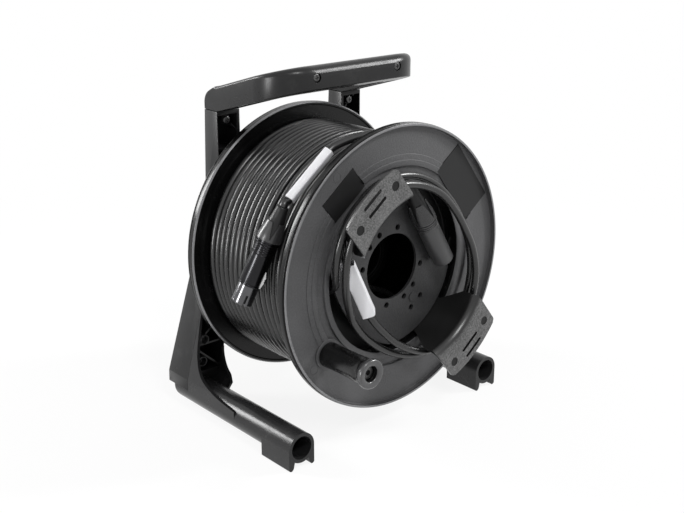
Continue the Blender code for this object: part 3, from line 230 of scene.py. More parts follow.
flangeLook = moulded("flangePlastic", 0.028, 0.12, 0.5, 700, 0.0002, 0.05, 0.3)
hubLook = moulded("hubPlastic", 0.008, 0.06, 0.45, 700, 0.0002, 0.05, 0.3)
frameLook = moulded("framePlastic", 0.006, 0.016, 0.31, 700, 0.00003, 0.03, 0.27)
footLook = moulded("footPlastic", 0.01, 0.024, 0.25, 700, 0.00001, 0.03, 0.25)
rimLook = moulded("glossyPlastic", 0.002, 0.005, 0.25, 900, 0.000004, 0.02, 0.26)
retainerLook = grained("grainedPlastic", (0.004, 0.008), (0.010, 0.145), 0.087)
# Painted highlight: a pale stripe for the rim chamfer and front bead stands in for a bright edge highlight,
# with random scuffs on top
paintedHighlightEdgeLook = moulded("paintedHighlightEdge", 0.09, 0.24, 0.3, 900, 0.00001, 0.1, 0.5)
pocketLook = moulded("pocketPlastic", 0.005, 0.014, 0.4, 700, 0.0001, 0.04, 0.26)
# Painted shade: near-black plastic for the walls of the lip slots; the smooth dimple floors take it too
slotShadeAndDimpleLook = moulded("slotShadeAndDimplePlastic", 0.004, 0.008, 0.45, 900, 0.00003, 0.02, 0.2)
knobLook = moulded("knobPlastic", 0.003, 0.006, 0.26, 700, 0.000005, 0.01, 0.45)
# Partly rubbing wear, partly painted sheen: a paler base stands in for the reflection on the knob's end ring
knobRingWearAndSheenLook = moulded("knobRingWearAndSheen", 0.03, 0.06, 0.24, 700, 0.00001, 0.05, 0.7)
jacketLook = moulded("cableJacket", 0.004, 0.01, 0.30, 500, 0.000003, 0.02, 0.58)
bootLook = moulded("bootRubber", 0.006, 0.012, 0.36, 1500, 0.00004, 0.03, 0.28)
collarLook = moulded("collarPlastic", 0.018, 0.032, 0.3, 1500, 0.00001, 0.03, 0.5)
shellLook = moulded("shellPlastic", 0.035, 0.052, 0.38, 1500, 0.000006, 0.02, 0.5)
filmLook = moulded("labelFilm", 0.01, 0.014, 0.5, 2000, 0.00001, 0.02, 0.24)
sleeveLook = moulded("sleeveWhite", 0.64, 0.78, 0.42, 900, 0.00003, 0.05, 0.5)
barrelLook = metal("blackChrome", (0.015, 0.015, 0.016), (0.035, 0.035, 0.037), 0.2, 900)
noseLook = metal("nickelPlate", (0.08, 0.08, 0.083), (0.14, 0.14, 0.145), 0.18, 900)
brightLook = metal("brightSteel", (0.55, 0.55, 0.55), (0.7, 0.7, 0.7), 0.28, 1200)
darkSteelLook = metal("darkSteel", (0.07, 0.07, 0.07), (0.12, 0.12, 0.12), 0.35, 1200)
bearingLook = metal("blackenedSteel", (0.004, 0.004, 0.004), (0.01, 0.01, 0.01), 0.5, 1200)
latchLook = metal("latchSteel", (0.2, 0.2, 0.2), (0.42, 0.42, 0.42), 0.25, 500)
goldLook = metal("contactGold", (0.65, 0.5, 0.22), (0.8, 0.64, 0.32), 0.25, 900)
print("looks made")


def makeStage():
    s = stageSettings
    world = bpy.data.worlds.new("studio")
    bpy.context.scene.world = world
    world.use_nodes = True
    sky = Graph(world.node_tree)
    soft = sky.tree.nodes["Background"]
    sky.feed(soft.inputs["Color"], grey(1))
    sky.feed(soft.inputs["Strength"], s.worldStrength)
    white = sky.node("Background", {"Color": grey(1)})
    mixed = sky.node("MixShader", {0: sky.seen(), 1: Link(sky, soft.outputs[0]), 2: white})
    sky.feed(sky.tree.nodes["World Output"].inputs["Surface"], mixed)
    bm = bmesh.new()
    bmesh.ops.create_grid(bm, x_segments=1, y_segments=1, size=s.floorSize)
    mesh = bpy.data.meshes.new("floor")
    bm.to_mesh(mesh)
    bm.free()
    floor = added("floor", mesh)
    look = Look("paleFloor")
    look.finish(Base_Color=(*s.floorColour, 1), Roughness=0.9)
    plain = look.node("Emission", {"Color": grey(1)})
    lit = Link(look, look.shader.outputs[0])
    away = look.node("VectorMath", {0: look.place()}, "Value", operation="LENGTH")
    near, far = s.floorWhite
    white = look.rising(away, *s.floorFade) * (far - near) + near
    mixed = look.node("MixShader", {0: look.seen() * white, 1: lit, 2: plain})
    look.feed(look.tree.nodes["Material Output"].inputs["Surface"], mixed)
    floor.data.materials.append(look.material)
    for name, place, aimed, width, height, power in s.lamps:
        light = bpy.data.lights.new(name, "AREA")
        light.shape = "RECTANGLE"
        light.size = width
        light.size_y = height
        light.energy = power
        lamp = added(name, light)
        lamp.location = place
        lamp.rotation_euler = (Vector(aimed) - Vector(place)).to_track_quat("-Z", "Y").to_euler()
    bpy.context.scene.view_settings.view_transform = "Standard"


# Shapes
drumPlace = Matrix.Translation((0, frameShift, axisHeight))
framePlace = Matrix.Translation((0, frameShift, 0))


def polar(radius, angle):
    return radius * cos(radians(angle)), radius * sin(radians(angle))


def around(radius, angle, depth):
    x, z = polar(radius, angle)
    return Vector((x, depth, z)) * mm


def arc(centre, radius, start, end, steps):
    turn = (end - start) / steps
    return [(centre[0] + radius * cos(radians(start + turn * i)),
        centre[1] + radius * sin(radians(start + turn * i))) for i in range(steps + 1)]


def forward(profile):
    # The profile with its second measure turned over, which puts it in front of the middle
    return [(across, -along) for across, along in profile]


def circle(centre, radius, steps=32):
    return arc(centre, radius, 0, 360 - 360 / steps, steps - 1)


def rounded(corners, steps):
    # Each corner is (x, y, fillet radius)
    outline = []
    for i, (x, y, radius) in enumerate(corners):
        if radius <= 0:
            outline.append((x, y))
            continue
        here = Vector((x, y))
        back = Vector(corners[i - 1][:2]) - here
        ahead = Vector(corners[(i + 1) % len(corners)][:2]) - here
        half = back.angle(ahead) / 2
        centre = here + (back.normalized() + ahead.normalized()).normalized() * radius / sin(half)
        first = here + back.normalized() * radius / (sin(half) / cos(half))
        sweep = pi - 2 * half
        side = 1 if back.cross(ahead) < 0 else -1
        spoke = first - centre
        for k in range(steps + 1):
            turn = side * sweep * k / steps
            outline.append((centre.x + spoke.x * cos(turn) - spoke.y * sin(turn),
                centre.y + spoke.x * sin(turn) + spoke.y * cos(turn)))
    return outline


def smoothCurve(route, steps):
    # A Catmull-Rom curve from the second stop to the last but one
    dense = []
    for p0, p1, p2, p3 in zip(route, route[1:], route[2:], route[3:]):
        for k in range(steps):
            t = k / steps
            dense.append(0.5 * ((2 * p1) + (p2 - p0) * t + (2 * p0 - 5 * p1 + 4 * p2 - p3) * t * t
                + (3 * p1 - p0 - 3 * p2 + p3) * t * t * t))
    return dense + [route[-2]]


def throughPoints(points, steps=6):
    stops = [Vector(point) for point in points]
    route = [2 * stops[0] - stops[1], *stops, 2 * stops[-1] - stops[-2]]
    return [tuple(point) for point in smoothCurve(route, steps)]


def addLathe(bm, profile, steps, sweep=360, at=(0, 0)):
    # Profile points are (radius, place along +Y) in millimetres, turned about Y and then moved to (x, z)
    before = set(bm.verts)
    verts = [bm.verts.new((radius * mm, along * mm, 0)) for radius, along in profile]
    edges = [bm.edges.new(pair) for pair in zip(verts, verts[1:])]
    if profile[0][0] > 0 or profile[-1][0] > 0:
        edges.append(bm.edges.new((verts[-1], verts[0])))
    whole = sweep >= 360
    if not whole:
        bmesh.ops.rotate(bm, verts=verts, cent=(0, 0, 0), matrix=Matrix.Rotation(radians(sweep / 2), 3, "Y"))
    bmesh.ops.spin(bm, geom=verts + edges, cent=(0, 0, 0), axis=(0, -1, 0), angle=radians(sweep), steps=steps,
        use_merge=whole)
    if not whole:
        bmesh.ops.holes_fill(bm, edges=bm.edges)
    made = [vert for vert in bm.verts if vert not in before]
    bmesh.ops.translate(bm, verts=made, vec=Vector((at[0], 0, at[1])) * mm)
    return made


def addPrism(bm, outline, axis, start, end):
    # Outline points in millimetres lie square to the axis: (y, z), (x, z) or (x, y)
    def put(u, v, w):
        return Vector({"X": (w, u, v), "Y": (u, w, v), "Z": (u, v, w)}[axis]) * mm

    verts = [bm.verts.new(put(u, v, start)) for u, v in outline]
    face = bm.faces.new(verts)
    grown = bmesh.ops.extrude_face_region(bm, geom=[face])
    moved = [piece for piece in grown["geom"] if isinstance(piece, bmesh.types.BMVert)]
    bmesh.ops.translate(bm, verts=moved, vec=put(0, 0, end - start))
    return verts + moved


def skinned(name, rings):
    # Skins rings of places, in millimetres, and closes both ends
    bm = bmesh.new()
    loops = []
    for ring in rings:
        verts = [bm.verts.new(Vector(place) * mm) for place in ring]
        loops.append([bm.edges.new((verts[k - 1], verts[k])) for k in range(len(verts))])
    for first, last in zip(loops, loops[1:]):
        bmesh.ops.bridge_loops(bm, edges=first + last)
    for loop in (loops[0], loops[-1]):
        bmesh.ops.holes_fill(bm, edges=loop)
    return loose(name, bm)


def loose(name, bm):
    # The shape becomes an object of its own
    bmesh.ops.remove_doubles(bm, verts=bm.verts, dist=2e-6)
    bmesh.ops.recalc_face_normals(bm, faces=bm.faces)
    mesh = bpy.data.meshes.new(name)
    bm.to_mesh(mesh)
    bm.free()
    return added(name, mesh)


def prisms(name, outlines, axis, start, end):
    bm = bmesh.new()
    for outline in outlines:
        addPrism(bm, outline, axis, start, end)
    return loose(name, bm)


def lathe(name, profile, steps, *places):
    bm = bmesh.new()
    for place in places or [(0, 0)]:
        addLathe(bm, profile, steps, at=place)
    return loose(name, bm)


def combine(piece, operation, *tools):
    for tool in tools:
        modifier = piece.modifiers.new(operation, "BOOLEAN")
        modifier.operation = operation
        modifier.solver = "EXACT"
        modifier.object = tool
    bpy.context.view_layer.update()
    mesh = bpy.data.meshes.new_from_object(piece.evaluated_get(bpy.context.evaluated_depsgraph_get()))
    piece.modifiers.clear()
    piece.data = mesh
    for tool in tools:
        bpy.data.objects.remove(tool, do_unlink=True)
    return piece


def cut(piece, *tools):
    return combine(piece, "DIFFERENCE", *tools)


def smooth(piece, sharp=35):
    piece.data.shade_smooth()
    piece.data.set_sharp_from_angle(angle=radians(sharp))
    return piece


def soften(piece, width, segments=2, angle=28):
    # Rounds every sharp edge so that it catches the light
    mesh = bmesh.new()
    mesh.from_mesh(piece.data)
    bmesh.ops.remove_doubles(mesh, verts=mesh.verts, dist=5e-6)
    bmesh.ops.dissolve_limit(mesh, angle_limit=radians(1), verts=mesh.verts, edges=mesh.edges)
    mesh.to_mesh(piece.data)
    mesh.free()
    bevel = piece.modifiers.new("edges", "BEVEL")
    bevel.width = width * mm
    bevel.segments = segments
    bevel.limit_method = "ANGLE"
    bevel.angle_limit = radians(angle)
    bevel.harden_normals = True
    piece.data.shade_smooth()
    return piece


def claim(piece, node, body="drum"):
    # Hands the piece to its body, in place of its node
    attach(piece, body)
    if node:
        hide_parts(node)
    return piece


def settle(piece, look, node, place=drumPlace, body="drum", others=()):
    # Puts the mesh where it belongs and gives it its looks
    piece.data.transform(place)
    shares = [face.material_index if others else 0 for face in piece.data.polygons]
    piece.data.materials.clear()
    for finish in (look, *others):
        piece.data.materials.append(finish)
    piece.data.polygons.foreach_set("material_index", shares)
    return claim(piece, node, body)


def turned(name, profile, look, node, steps=96, place=drumPlace, sharp=35, body="drum"):
    return settle(smooth(lathe(name, profile, steps), sharp), look, node, place, body)


def softCopy(node, name, look, width, angle=28):
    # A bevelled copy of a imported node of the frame, whose shape is already right
    bm = bmesh.new()
    bm.from_mesh(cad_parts[node].data)
    bmesh.ops.remove_doubles(bm, verts=bm.verts, dist=1e-5)
    piece = loose(name, bm)
    soften(piece, width, 2, angle)
    return settle(piece, look, node, Matrix.Identity(4), "frame")


def cableCurve(name, points, node):
    curve = bpy.data.curves.new(name, "CURVE")
    curve.dimensions = "3D"
    curve.bevel_depth = cable.radius * mm
    curve.bevel_resolution = cable.sides
    curve.use_fill_caps = True
    curve.twist_mode = "MINIMUM"
    spline = curve.splines.new("POLY")
    spline.points.add(len(points) - 1)
    for point, place in zip(spline.points, points):
        point.co = (*(drumPlace @ place), 1)
    spline.use_smooth = True
    curve.materials.append(jacketLook)
    return claim(added(name, curve), node)


def alongAxis(start, direction, roll=0):
    # Carries a shape made along +Y to a start point in the drum, pointing along the direction
    turn = Vector((0, 1, 0)).rotation_difference(direction).to_matrix().to_4x4()
    return drumPlace @ Matrix.Translation(start) @ turn @ Matrix.Rotation(radians(roll), 4, "Y")


# Flanges
flange = Settings(
    radius=117.5, rim=2.5, face=58.3, back=56.1, front=63.1, bead=1.3, lip=55.1, opening=71, collar=50.1,
    collarWall=1.7, ringEnd=76, ringHeight=1.7, grooveEnd=83, grooveDepth=0.7, beadEnd=88, beadHeight=1.3,
    stepEnd=92.5, stepHeight=0.7, bore=27.3, boss=34.3, steps=160,
    seatRadius=12.5, seatHeight=1.5, labelRecess=0.5, labelGap=0.3, labelThickness=0.6,
    # out, across, radius, angle
    labels=Settings(side=(31, 60, 94.8, 37.2), upper=(20, 38, 89, 128)),
    marks=((106.7, -143.2), (105.1, 126), (106.7, -20)), markRadius=3.9, markDepth=0.18, markWidth=0.35,
    ribs=8, ribThickness=1.6,
)
knobCentre = polar(89.9, -143)


def rimCorners():
    # A bead at the front edge, a groove, the outer band, and a chamfered lip towards the winding
    f = flange
    radius = f.radius
    inner = radius - f.rim
    groove = f.front - f.bead
    low = f.lip
    return [(inner, f.face, 0.5), (inner, f.front, 0.7), (radius - 0.4, f.front, 0.6),
        (radius - 0.4, groove, 0.4), (radius - 1.3, groove, 0.2), (radius - 1.3, groove - 0.8, 0.1),
        (radius, groove - 1.3, 0.6), (radius, low + 1.1, 0.4), (radius - 1.1, low, 0.4),
        (radius - 2.8, low, 0.5), (radius - 3.2, f.back, 0.3)]


def labelOutline(size, margin):
    # A rectangle whose first size runs outward and whose second runs round the axis
    wide, tall, radius, angle = size
    out = Vector(polar(1, angle))
    side = Vector((-out.y, out.x))
    u = wide / 2 + margin
    v = tall / 2 + margin
    return [tuple(out * (radius + a) + side * b) for a, b in ((-u, -v), (u, -v), (u, v), (-u, v))]


def makeFrontFlange():
    f = flange
    face = f.face
    collar = f.opening + f.collarWall
    corners = [(f.opening, f.collar, 0.2), (f.opening, face + f.ringHeight, 0.7),
        (f.ringEnd, face + f.ringHeight, 0.5), (f.ringEnd, face - f.grooveDepth, 0.4),
        (f.grooveEnd, face - f.grooveDepth, 0.4), (f.grooveEnd, face + f.beadHeight, 0.8),
        (f.beadEnd, face + f.beadHeight, 0.5), (f.beadEnd, face + f.stepHeight, 0.1),
        (f.stepEnd, face + f.stepHeight, 0.35), (f.stepEnd, face, 0.3)]
    corners += rimCorners() + [(collar, f.back, 0.3), (collar, f.collar, 0.2)]
    piece = lathe("frontFlange", forward(rounded(corners, 4)), f.steps)
    high = face + f.seatHeight
    seat = [(0, high), *arc((f.seatRadius - 0.5, high - 0.5), 0.5, 90, 0, 4)]
    seat += [(f.seatRadius, face - 1), (0, face - 1)]
    combine(piece, "UNION", lathe("knobSeat", forward(seat), 48, knobCentre))
    recesses = [labelOutline(size, f.labelGap) for size in f.labels.values()]
    recessTool = prisms("labelRecesses", recesses, "Y", -(face + 3), -(face - f.labelRecess))
    r = f.markRadius
    floor = face - f.markDepth
    ring = forward([(r, face + 1), (r, floor), (r - f.markWidth, floor), (r - f.markWidth, face + 1)])
    cut(piece, recessTool, lathe("ejectorMarks", ring, 40, *[polar(*mark) for mark in f.marks]))
    smooth(piece)
    # Painted highlight: the front of the rim's bead takes the pale edge plastic
    for face in piece.data.polygons:
        away = face.center.xz.length / mm
        # The rim takes the glossy black plastic, its own finish, which also darkens the lip's inner wall as
        # painted shade
        onRim = away > f.radius - f.rim
        onPaintedShadeWall = away < f.opening + 0.1  # painted shade: the wall of the opening takes the black rim plastic
        face.material_index = (onRim or onPaintedShadeWall) + (onRim and face.center.y < (0.3 - f.front) * mm)
    settle(piece, flangeLook, "front_flange", others=(rimLook, paintedHighlightEdgeLook))


def makeRearFlange():
    f = flange
    face = f.face
    collar = f.opening + f.collarWall
    corners = [(collar, f.back, 0.3), (collar, f.collar, 0.2), (f.opening, f.collar, 0.2),
        (f.opening, f.back, 0.3), (f.bore, f.back, 0.3), (f.bore, face + 1.3, 0.4), (f.boss, face + 1.3, 0.5),
        (f.boss, face, 0.4)]
    corners += rimCorners()
    piece = lathe("rearFlange", rounded(corners, 4), f.steps)
    half = f.ribThickness / 2
    first = f.boss - 2.25
    last = f.radius - f.rim / 2
    rib = [(first, -half), (last, -half), (last, half), (first, half)]
    bm = bmesh.new()
    for i in range(f.ribs):
        verts = addPrism(bm, rib, "Y", face - 1.1, face + 1.04)
        turn = Matrix.Rotation(radians(360 / f.ribs * (i + 0.5)), 3, "Y")
        bmesh.ops.rotate(bm, verts=verts, cent=(0, 0, 0), matrix=turn)
    combine(piece, "UNION", loose("rearRibs", bm))
    smooth(piece)
    # Painted highlight: the chamfer towards the winding takes the pale edge plastic
    for face in piece.data.polygons:
        onChamfer = face.center.xz.length > (f.radius - 1.4) * mm and face.center.y < (f.lip + 1.3) * mm
        face.material_index = int(onChamfer)
    settle(piece, rimLook, "rear_flange", others=(paintedHighlightEdgeLook,))


def makeLabels():
    f = flange
    base = f.face - f.labelRecess + f.labelGap
    for name, size in f.labels.items():
        piece = prisms(name + "Label", [labelOutline(size, 0)], "Y", -(base + f.labelThickness), -base)
        soften(piece, 0.12)
        settle(piece, filmLook, "label_plate_" + name)


# Cable, wound and stored
cable = Settings(
    radius=3, turns=16, gap=0.46, wideGap=1.6, wideGapTurn=9.5, windingRadius=100.5,
    endAngle=60, pointsPerTurn=72, sides=6,
    lowerTurns=17, lowerPitch=6.3, lowerRadius=92.9, lowerStart=50.9, core=(75.8, 92, 55.7),
)


def windingPoint(turn):
    c = cable
    pitch = 2 * c.radius + c.gap
    start = (pitch * c.turns + c.wideGap) / 2
    ease = min(max(turn - c.wideGapTurn + 0.5, 0), 1)
    y = start - pitch * turn - c.wideGap * ease * ease * (3 - 2 * ease)
    wander = 0.1 * sin(turn * 9.7) + 0.07 * sin(turn * 23.3)
    fade = min(max((c.turns - turn) * 4, 0), 1)
    return around(c.windingRadius + 0.1 * fade * sin(turn * 14.1), c.endAngle + 360 * turn, y + wander * fade)


def makeWinding():
    c = cable
    count = c.turns * c.pointsPerTurn
    points = [windingPoint(i / c.pointsPerTurn) for i in range(count + 1)]
    cableCurve("woundCable", points, "cable_winding")
    under = []
    for i in range(c.lowerTurns):
        under += arc((c.lowerRadius, c.lowerStart - c.lowerPitch * i), c.radius, -90, 90, 8)[::-1]
    inner, outer, end = c.core
    profile = [(inner, end), (outer, end)] + under + [(outer, -end), (inner, -end)]
    turned("lowerTurns", profile, jacketLook, "cable_core", 128)


def smoothRoute(route, count):
    # A smooth curve through the stops, read at even steps, with straight first and last stretches
    dense = smoothCurve(route, 24)
    reach = [0]
    for a, b in zip(dense, dense[1:]):
        reach.append(reach[-1] + (b - a).length)
    points = [route[0]]
    k = 0
    for i in range(count - 2):
        goal = reach[-1] * i / (count - 3)
        while k < len(reach) - 2 and reach[k + 1] < goal:
            k += 1
        share = (goal - reach[k]) / (reach[k + 1] - reach[k])
        points.append(dense[k].lerp(dense[k + 1], min(max(share, 0), 1)))
    points.append(route[-1])
    return points


outerEnd = around(117, 146, -38)
outerNose = around(122.9, 184.6, -17)
outerWay = (outerNose - outerEnd).normalized()
outerSleeveEnds = (around(115, 118.1, -41), around(113.4, 142.4, -36.9))
innerNose = around(49.47, -3, -64.6)
innerWay = Vector((sin(radians(30.8)), 0, -cos(radians(30.8))))
innerEnd = innerNose - innerWay * 82 * mm
innerSleeveEnds = (around(64, 162, -69), around(47, 215, -70))
innerStops = (
    (104, 79, -66), (118, 80.5, -67), (137, 80, -68), (150, 75.5, -68.5),
    None, (238, 50.5, -71.3), (262, 60.5, -72.5),
    (282, 74, -74.5), (296, 81, -76), (310, 83.5, -77), (326, 83, -78),
    (345, 77, -79), (4, 69, -80), (24, 62.5, -81), (46, 62, -82), (68, 67, -82.5), (88, 73, -82.5),
    (106, 79.5, -82.5), (120, 80.5, -82.5), (138, 80, -81.5), (154, 76, -79), (172, 68.5, -75),
    (192, 62, -69.5), (214, 60, -65.5), (238, 62, -64), (262, 70, -65),
    (282, 80, -66.5), (296, 85, -67.5), (310, 86.5, -68), (326, 86, -68.5),
    (345, 81, -69.5), (4, 74.5, -70.5), (24, 69, -72), (46, 68.5, -73.5), (68, 73, -74.2), (88, 79, -74.5),
    (106, 84, -74.8), (120, 84.5, -74.8), (137, 84.5, -74.5), (150, 82, -73.3), (161, 77.5, -71),
    (171, 71.8, -67.5), (179, 67.2, -62))
leadStops = ((187, 66, -38.2), (190.5, 61.5, -35.4), (194, 51, -33.9), (204, 34, -33.8), (231, 22.8, -33.6),
    (272, 26.5, -30.6), (297, 38.5, -26.5), (306, 55, -22.5), (306, 67, -22.5), (306, 72.1, -22.5))


def alongSleeve(ends):
    start, end = ends
    lead = (end - start).normalized() * cable.radius * mm
    return [start - lead, start, start.lerp(end, 0.5), end, end + lead]


def makeStoredCable():
    face = innerEnd - innerWay * 0.3 * mm
    route = [face, face - innerWay * 6 * mm]
    for stop in innerStops:
        route += alongSleeve(innerSleeveEnds) if stop is None else [around(stop[1], stop[0], stop[2])]
    route += [around(66, 187, -47), around(66, 187, -41.2)]
    lead = [route[-1]] + [around(radius, angle, depth) for angle, radius, depth in leadStops]
    points = smoothRoute(route, 320) + smoothRoute(lead, 60)[1:]
    cableCurve("storedCable", points, "cable_inner_loops")


def makeLooseCable():
    first = windingPoint(cable.turns)
    lead = (first - windingPoint(cable.turns - 1 / cable.pointsPerTurn)).normalized()
    y = first.y / mm
    face = outerEnd - outerWay * 0.3 * mm
    start = first + lead * 0.1 * mm
    route = [start, start + lead * 6 * mm, around(102.1, 72, y), around(105.5, 83, y + 1.2),
        around(110, 96, y + 5), around(112.9, 108, y + 9.5), *alongSleeve(outerSleeveEnds),
        face - outerWay * 3 * mm, face]
    points = smoothRoute(route, 40)
    length = sum((b - a).length for a, b in zip(points, points[1:]))
    return cableCurve("looseCable", points, "cable_outer_tail"), start, length


# Label sleeves: stiff white film folded round the cable
sleeve = Settings(
    wall=0.45, slit=4,
    outer=Settings(wide=7.2, high=7.1, roll=112, corner=1.4),
    inner=Settings(wide=11.2, high=7.4, roll=18, corner=1),
    cutCorner=3.2,
)


def makeSleeve(name, ends):
    s = sleeve
    own = s[name]
    wall = s.wall
    w = own.wide / 2
    h = own.high / 2
    c = own.corner
    slit = s.slit / 2
    inside = max(c - wall, 0.3)
    corners = [(slit, -h, 0), (w, -h, c), (w, h, c), (-w, h, c), (-w, -h, c), (-slit, -h, 0),
        (-slit, wall - h, 0), (wall - w, wall - h, inside), (wall - w, h - wall, inside),
        (w - wall, h - wall, inside), (w - wall, wall - h, inside), (slit, wall - h, 0)]
    start, end = ends
    half = (end - start).length / mm / 2
    piece = prisms(name + "Sleeve", [forward(rounded(corners, 5))], "Y", -half, half)
    if name == "inner":
        r = s.cutCorner
        nook = arc((w - r, half - r), r, 0, 90, 8) + [(w - r, half + 1), (w + 1, half + 1), (w + 1, half - r)]
        cut(piece, prisms("sleeveNook", [nook], "Z", -2 * h, 2 * h))
    soften(piece, 0.12, 2, 40)
    place = alongAxis((start + end) / 2, (end - start).normalized(), own.roll)
    return settle(piece, sleeveLook, name + "_sleeve", place)


# Plug connectors
plug = Settings(
    radius=9, length=82, noseStart=66, wall=1.3, waves=4, collarGap=0.12,
    collarWall=0.9, waveShare=0.56, rings=(0.3, 2.3), ringWidth=1.2, ringRadius=9.75,
    insertDepth=14.5, pinRadius=1.2, pinCircle=4, pinAngles=(-150, -30, 90),
    outer=Settings(boot=27, wave=15, nose=8.3, roll=165, collarRoll=192, ribs=(4.6, 6.3, 8, 9.7)),
    inner=Settings(boot=35, wave=18, nose=9, roll=0, collarRoll=0, ribs=(4.8, 6.6)),
)
plugEnds = {"outer": (outerEnd, outerWay), "inner": (innerEnd, innerWay)}


def plugPlace(name, roll=0):
    return alongAxis(*plugEnds[name], roll)


def coneRadius(length, y):
    stops = ((-1, 4.7), (0, 4.7), (0.12, 4.98), (0.35, 5.9), (0.82, 8.6), (1, 9), (2, 9))
    share = y / length
    for (a, ra), (b, rb) in zip(stops, stops[1:]):
        if a <= share <= b:
            return ra + (rb - ra) * (share - a) / (b - a)


def waveCollar(name, boot, wave):
    # A thin collar over the boot, cut into rounded waves that reach back along the cable
    p = plug
    rows = 14
    inner, outer = 10, 11
    profile = [(outer, -k) for k in range(rows + 1)] + [(inner, -k) for k in range(rows, -1, -1)]
    bm = bmesh.new()
    for vert in addLathe(bm, profile, 144):
        across = vert.co.xz.length / mm
        turn = (vert.co.xz.angle_signed(Vector((1, 0))) / (2 * pi) * p.waves) % 1
        off = abs(turn - 0.5) * 2
        rise = min(off / p.waveShare, 1)
        reach = 0.1 + 0.9 * sin(rise * pi / 2) ** 1.3
        y = boot + vert.co.y / mm / rows * wave * reach
        radius = coneRadius(boot, y) + p.collarGap + (p.collarWall if across > (inner + outer) / 2 else 0)
        vert.co = Vector((vert.co.x / across * radius, y * mm, vert.co.z / across * radius))
    return soften(loose(name + "Collar", bm), 0.25, 2, 50)


def ringCorners(boot, offsets, width, high, low):
    corners = []
    for start in offsets:
        corners += [(low, boot + start, 0.1), (high, boot + start, 0.3), (high, boot + start + width, 0.3),
            (low, boot + start + width, 0.1)]
    return corners


def makeBoot(name):
    own = plug[name]
    length = own.boot - 0.3
    count = 20
    profile = [(0, 0), (4.2, 0), (4.65, 0.4)]
    profile += [(coneRadius(length, length * k / count), length * k / count) for k in range(1, count + 1)]
    profile += [(0, length)]
    return turned(name + "Boot", profile, bootLook, name + "_boot", 72,
        plugPlace(name), 40)


def makeShell(name):
    p = plug
    own = p[name]
    boot = own.boot
    nose = p.noseStart
    low = 8.8
    corners = [(0, boot, 0), (low, boot, 0.1)]
    corners += ringCorners(boot, p.rings, p.ringWidth, p.ringRadius, low)
    corners += ringCorners(boot, own.ribs, 1, 9.05, 8.5)
    bodyStart = boot + own.ribs[-1] + 2.2
    corners += [(8.5, bodyStart, 0.1), (p.radius, bodyStart + 0.8, 0.4)]
    if name == "outer":
        corners += [(p.radius, nose - 2.4, 0.2), (8.8, nose - 2.2, 0.05), (8.8, nose - 1.8, 0.05),
            (9.15, nose - 1.6, 0.3), (9.15, nose - 0.2, 0.3), (7.4, nose - 0.2, 0), (0, nose - 0.2, 0)]
    else:
        socket = own.nose - p.wall
        corners += [(own.nose, p.length, 1.1), (socket, p.length, 0.3), (socket, nose, 0), (0, nose, 0)]
    piece = lathe(name + "Shell", rounded(corners, 4), 96)
    collar = waveCollar(name, boot + 0.3, own.wave)
    look, slot = (barrelLook, "black_chrome") if name == "outer" else (shellLook, "boot_rubber")
    if name == "outer":
        latchSlot = [(-2.9, 50.6), (2.9, 50.6), (2.9, 66.5), (-2.9, 66.5)]
        cut(piece, prisms("latchSlot", [latchSlot], "Z", 6.6, 18))
    settle(collar, collarLook, "", plugPlace(name, own.collarRoll))
    settle(smooth(piece), look, name + "_shell", plugPlace(name, own.roll))


def makeNose():
    # The bright socket end of the outer plug, with its key slot
    p = plug
    own = p.outer
    nose = p.noseStart
    radius = own.nose
    socket = radius - p.wall
    corners = [(socket, nose - 0.2, 0), (radius, nose - 0.2, 0.1), (radius, p.length - 1.6, 0.1),
        (radius + 0.05, p.length - 1.2, 0.2), (radius + 0.05, p.length, 0.35), (socket, p.length, 0.3)]
    piece = lathe("outerNose", rounded(corners, 4), 96)
    keySlot = [(-0.9, p.length - 9), (0.9, p.length - 9), (0.9, p.length + 1), (-0.9, p.length + 1)]
    key = prisms("noseKey", [keySlot], "Z", 6, 12)
    key.data.transform(Matrix.Rotation(radians(60), 4, "Y"))
    cut(piece, key)
    settle(smooth(piece), noseLook, "outer_shell", plugPlace("outer", own.roll))


def pinPlaces():
    return [polar(plug.pinCircle, angle) for angle in plug.pinAngles]


def makeInsert(name):
    p = plug
    own = p[name]
    radius = own.nose - p.wall - 0.3
    base = p.noseStart + 0.3
    depth = p.insertDepth if name == "outer" else 4
    bottom = base + depth * (0.3 if name == "outer" else 0.5)
    profile = [(0, base), (radius, base), (radius, base + depth - 0.3), (radius - 0.3, base + depth),
        (0, base + depth)]
    piece = lathe(name + "Insert", profile, 64)
    holes = [circle(spot, p.pinRadius + 0.3, 24) for spot in pinPlaces()]
    cut(piece, prisms("pinHoles", holes, "Y", bottom, base + 2 * depth))
    settle(smooth(piece), bootLook, name + "_insert", plugPlace(name, own.roll))
    return bottom


def makePins(bottom):
    p = plug
    r = p.pinRadius
    tip = p.length - 1
    profile = [(0, bottom + 0.3), (r, bottom + 0.3), (r, tip - 1.2)]
    profile += arc((r - 0.9, tip - 0.9), 0.9, 0, 80, 5) + [(0, tip)]
    for index, spot in enumerate(pinPlaces(), 1):
        piece = lathe("innerPin%d" % index, profile, 24, spot)
        settle(smooth(piece), goldLook, "inner_pin_%d" % index, plugPlace("inner"))


def makeLatch():
    # A push tab: sloped ahead, stepped behind, with two grooves for the thumb
    corners = [(51, 8.2, 0.2), (65.4, 8.2, 0.2), (65.4, 9.6, 0.2), (60.5, 10.9, 0.6), (55.5, 10.9, 0.5),
        (51, 9.3, 0.3)]
    piece = prisms("outerLatch", [rounded(corners, 4)], "X", -2.5, 2.5)
    grooves = [[(y, 10.4), (y + 0.7, 10.4), (y + 0.7, 12), (y, 12)] for y in (56.8, 58.4)]
    cut(piece, prisms("latchGrooves", grooves, "X", -4, 4))
    soften(piece, 0.2)
    place = plugPlace("outer", plug.outer.roll)
    return settle(piece, latchLook, "outer_latch", place, "latch")


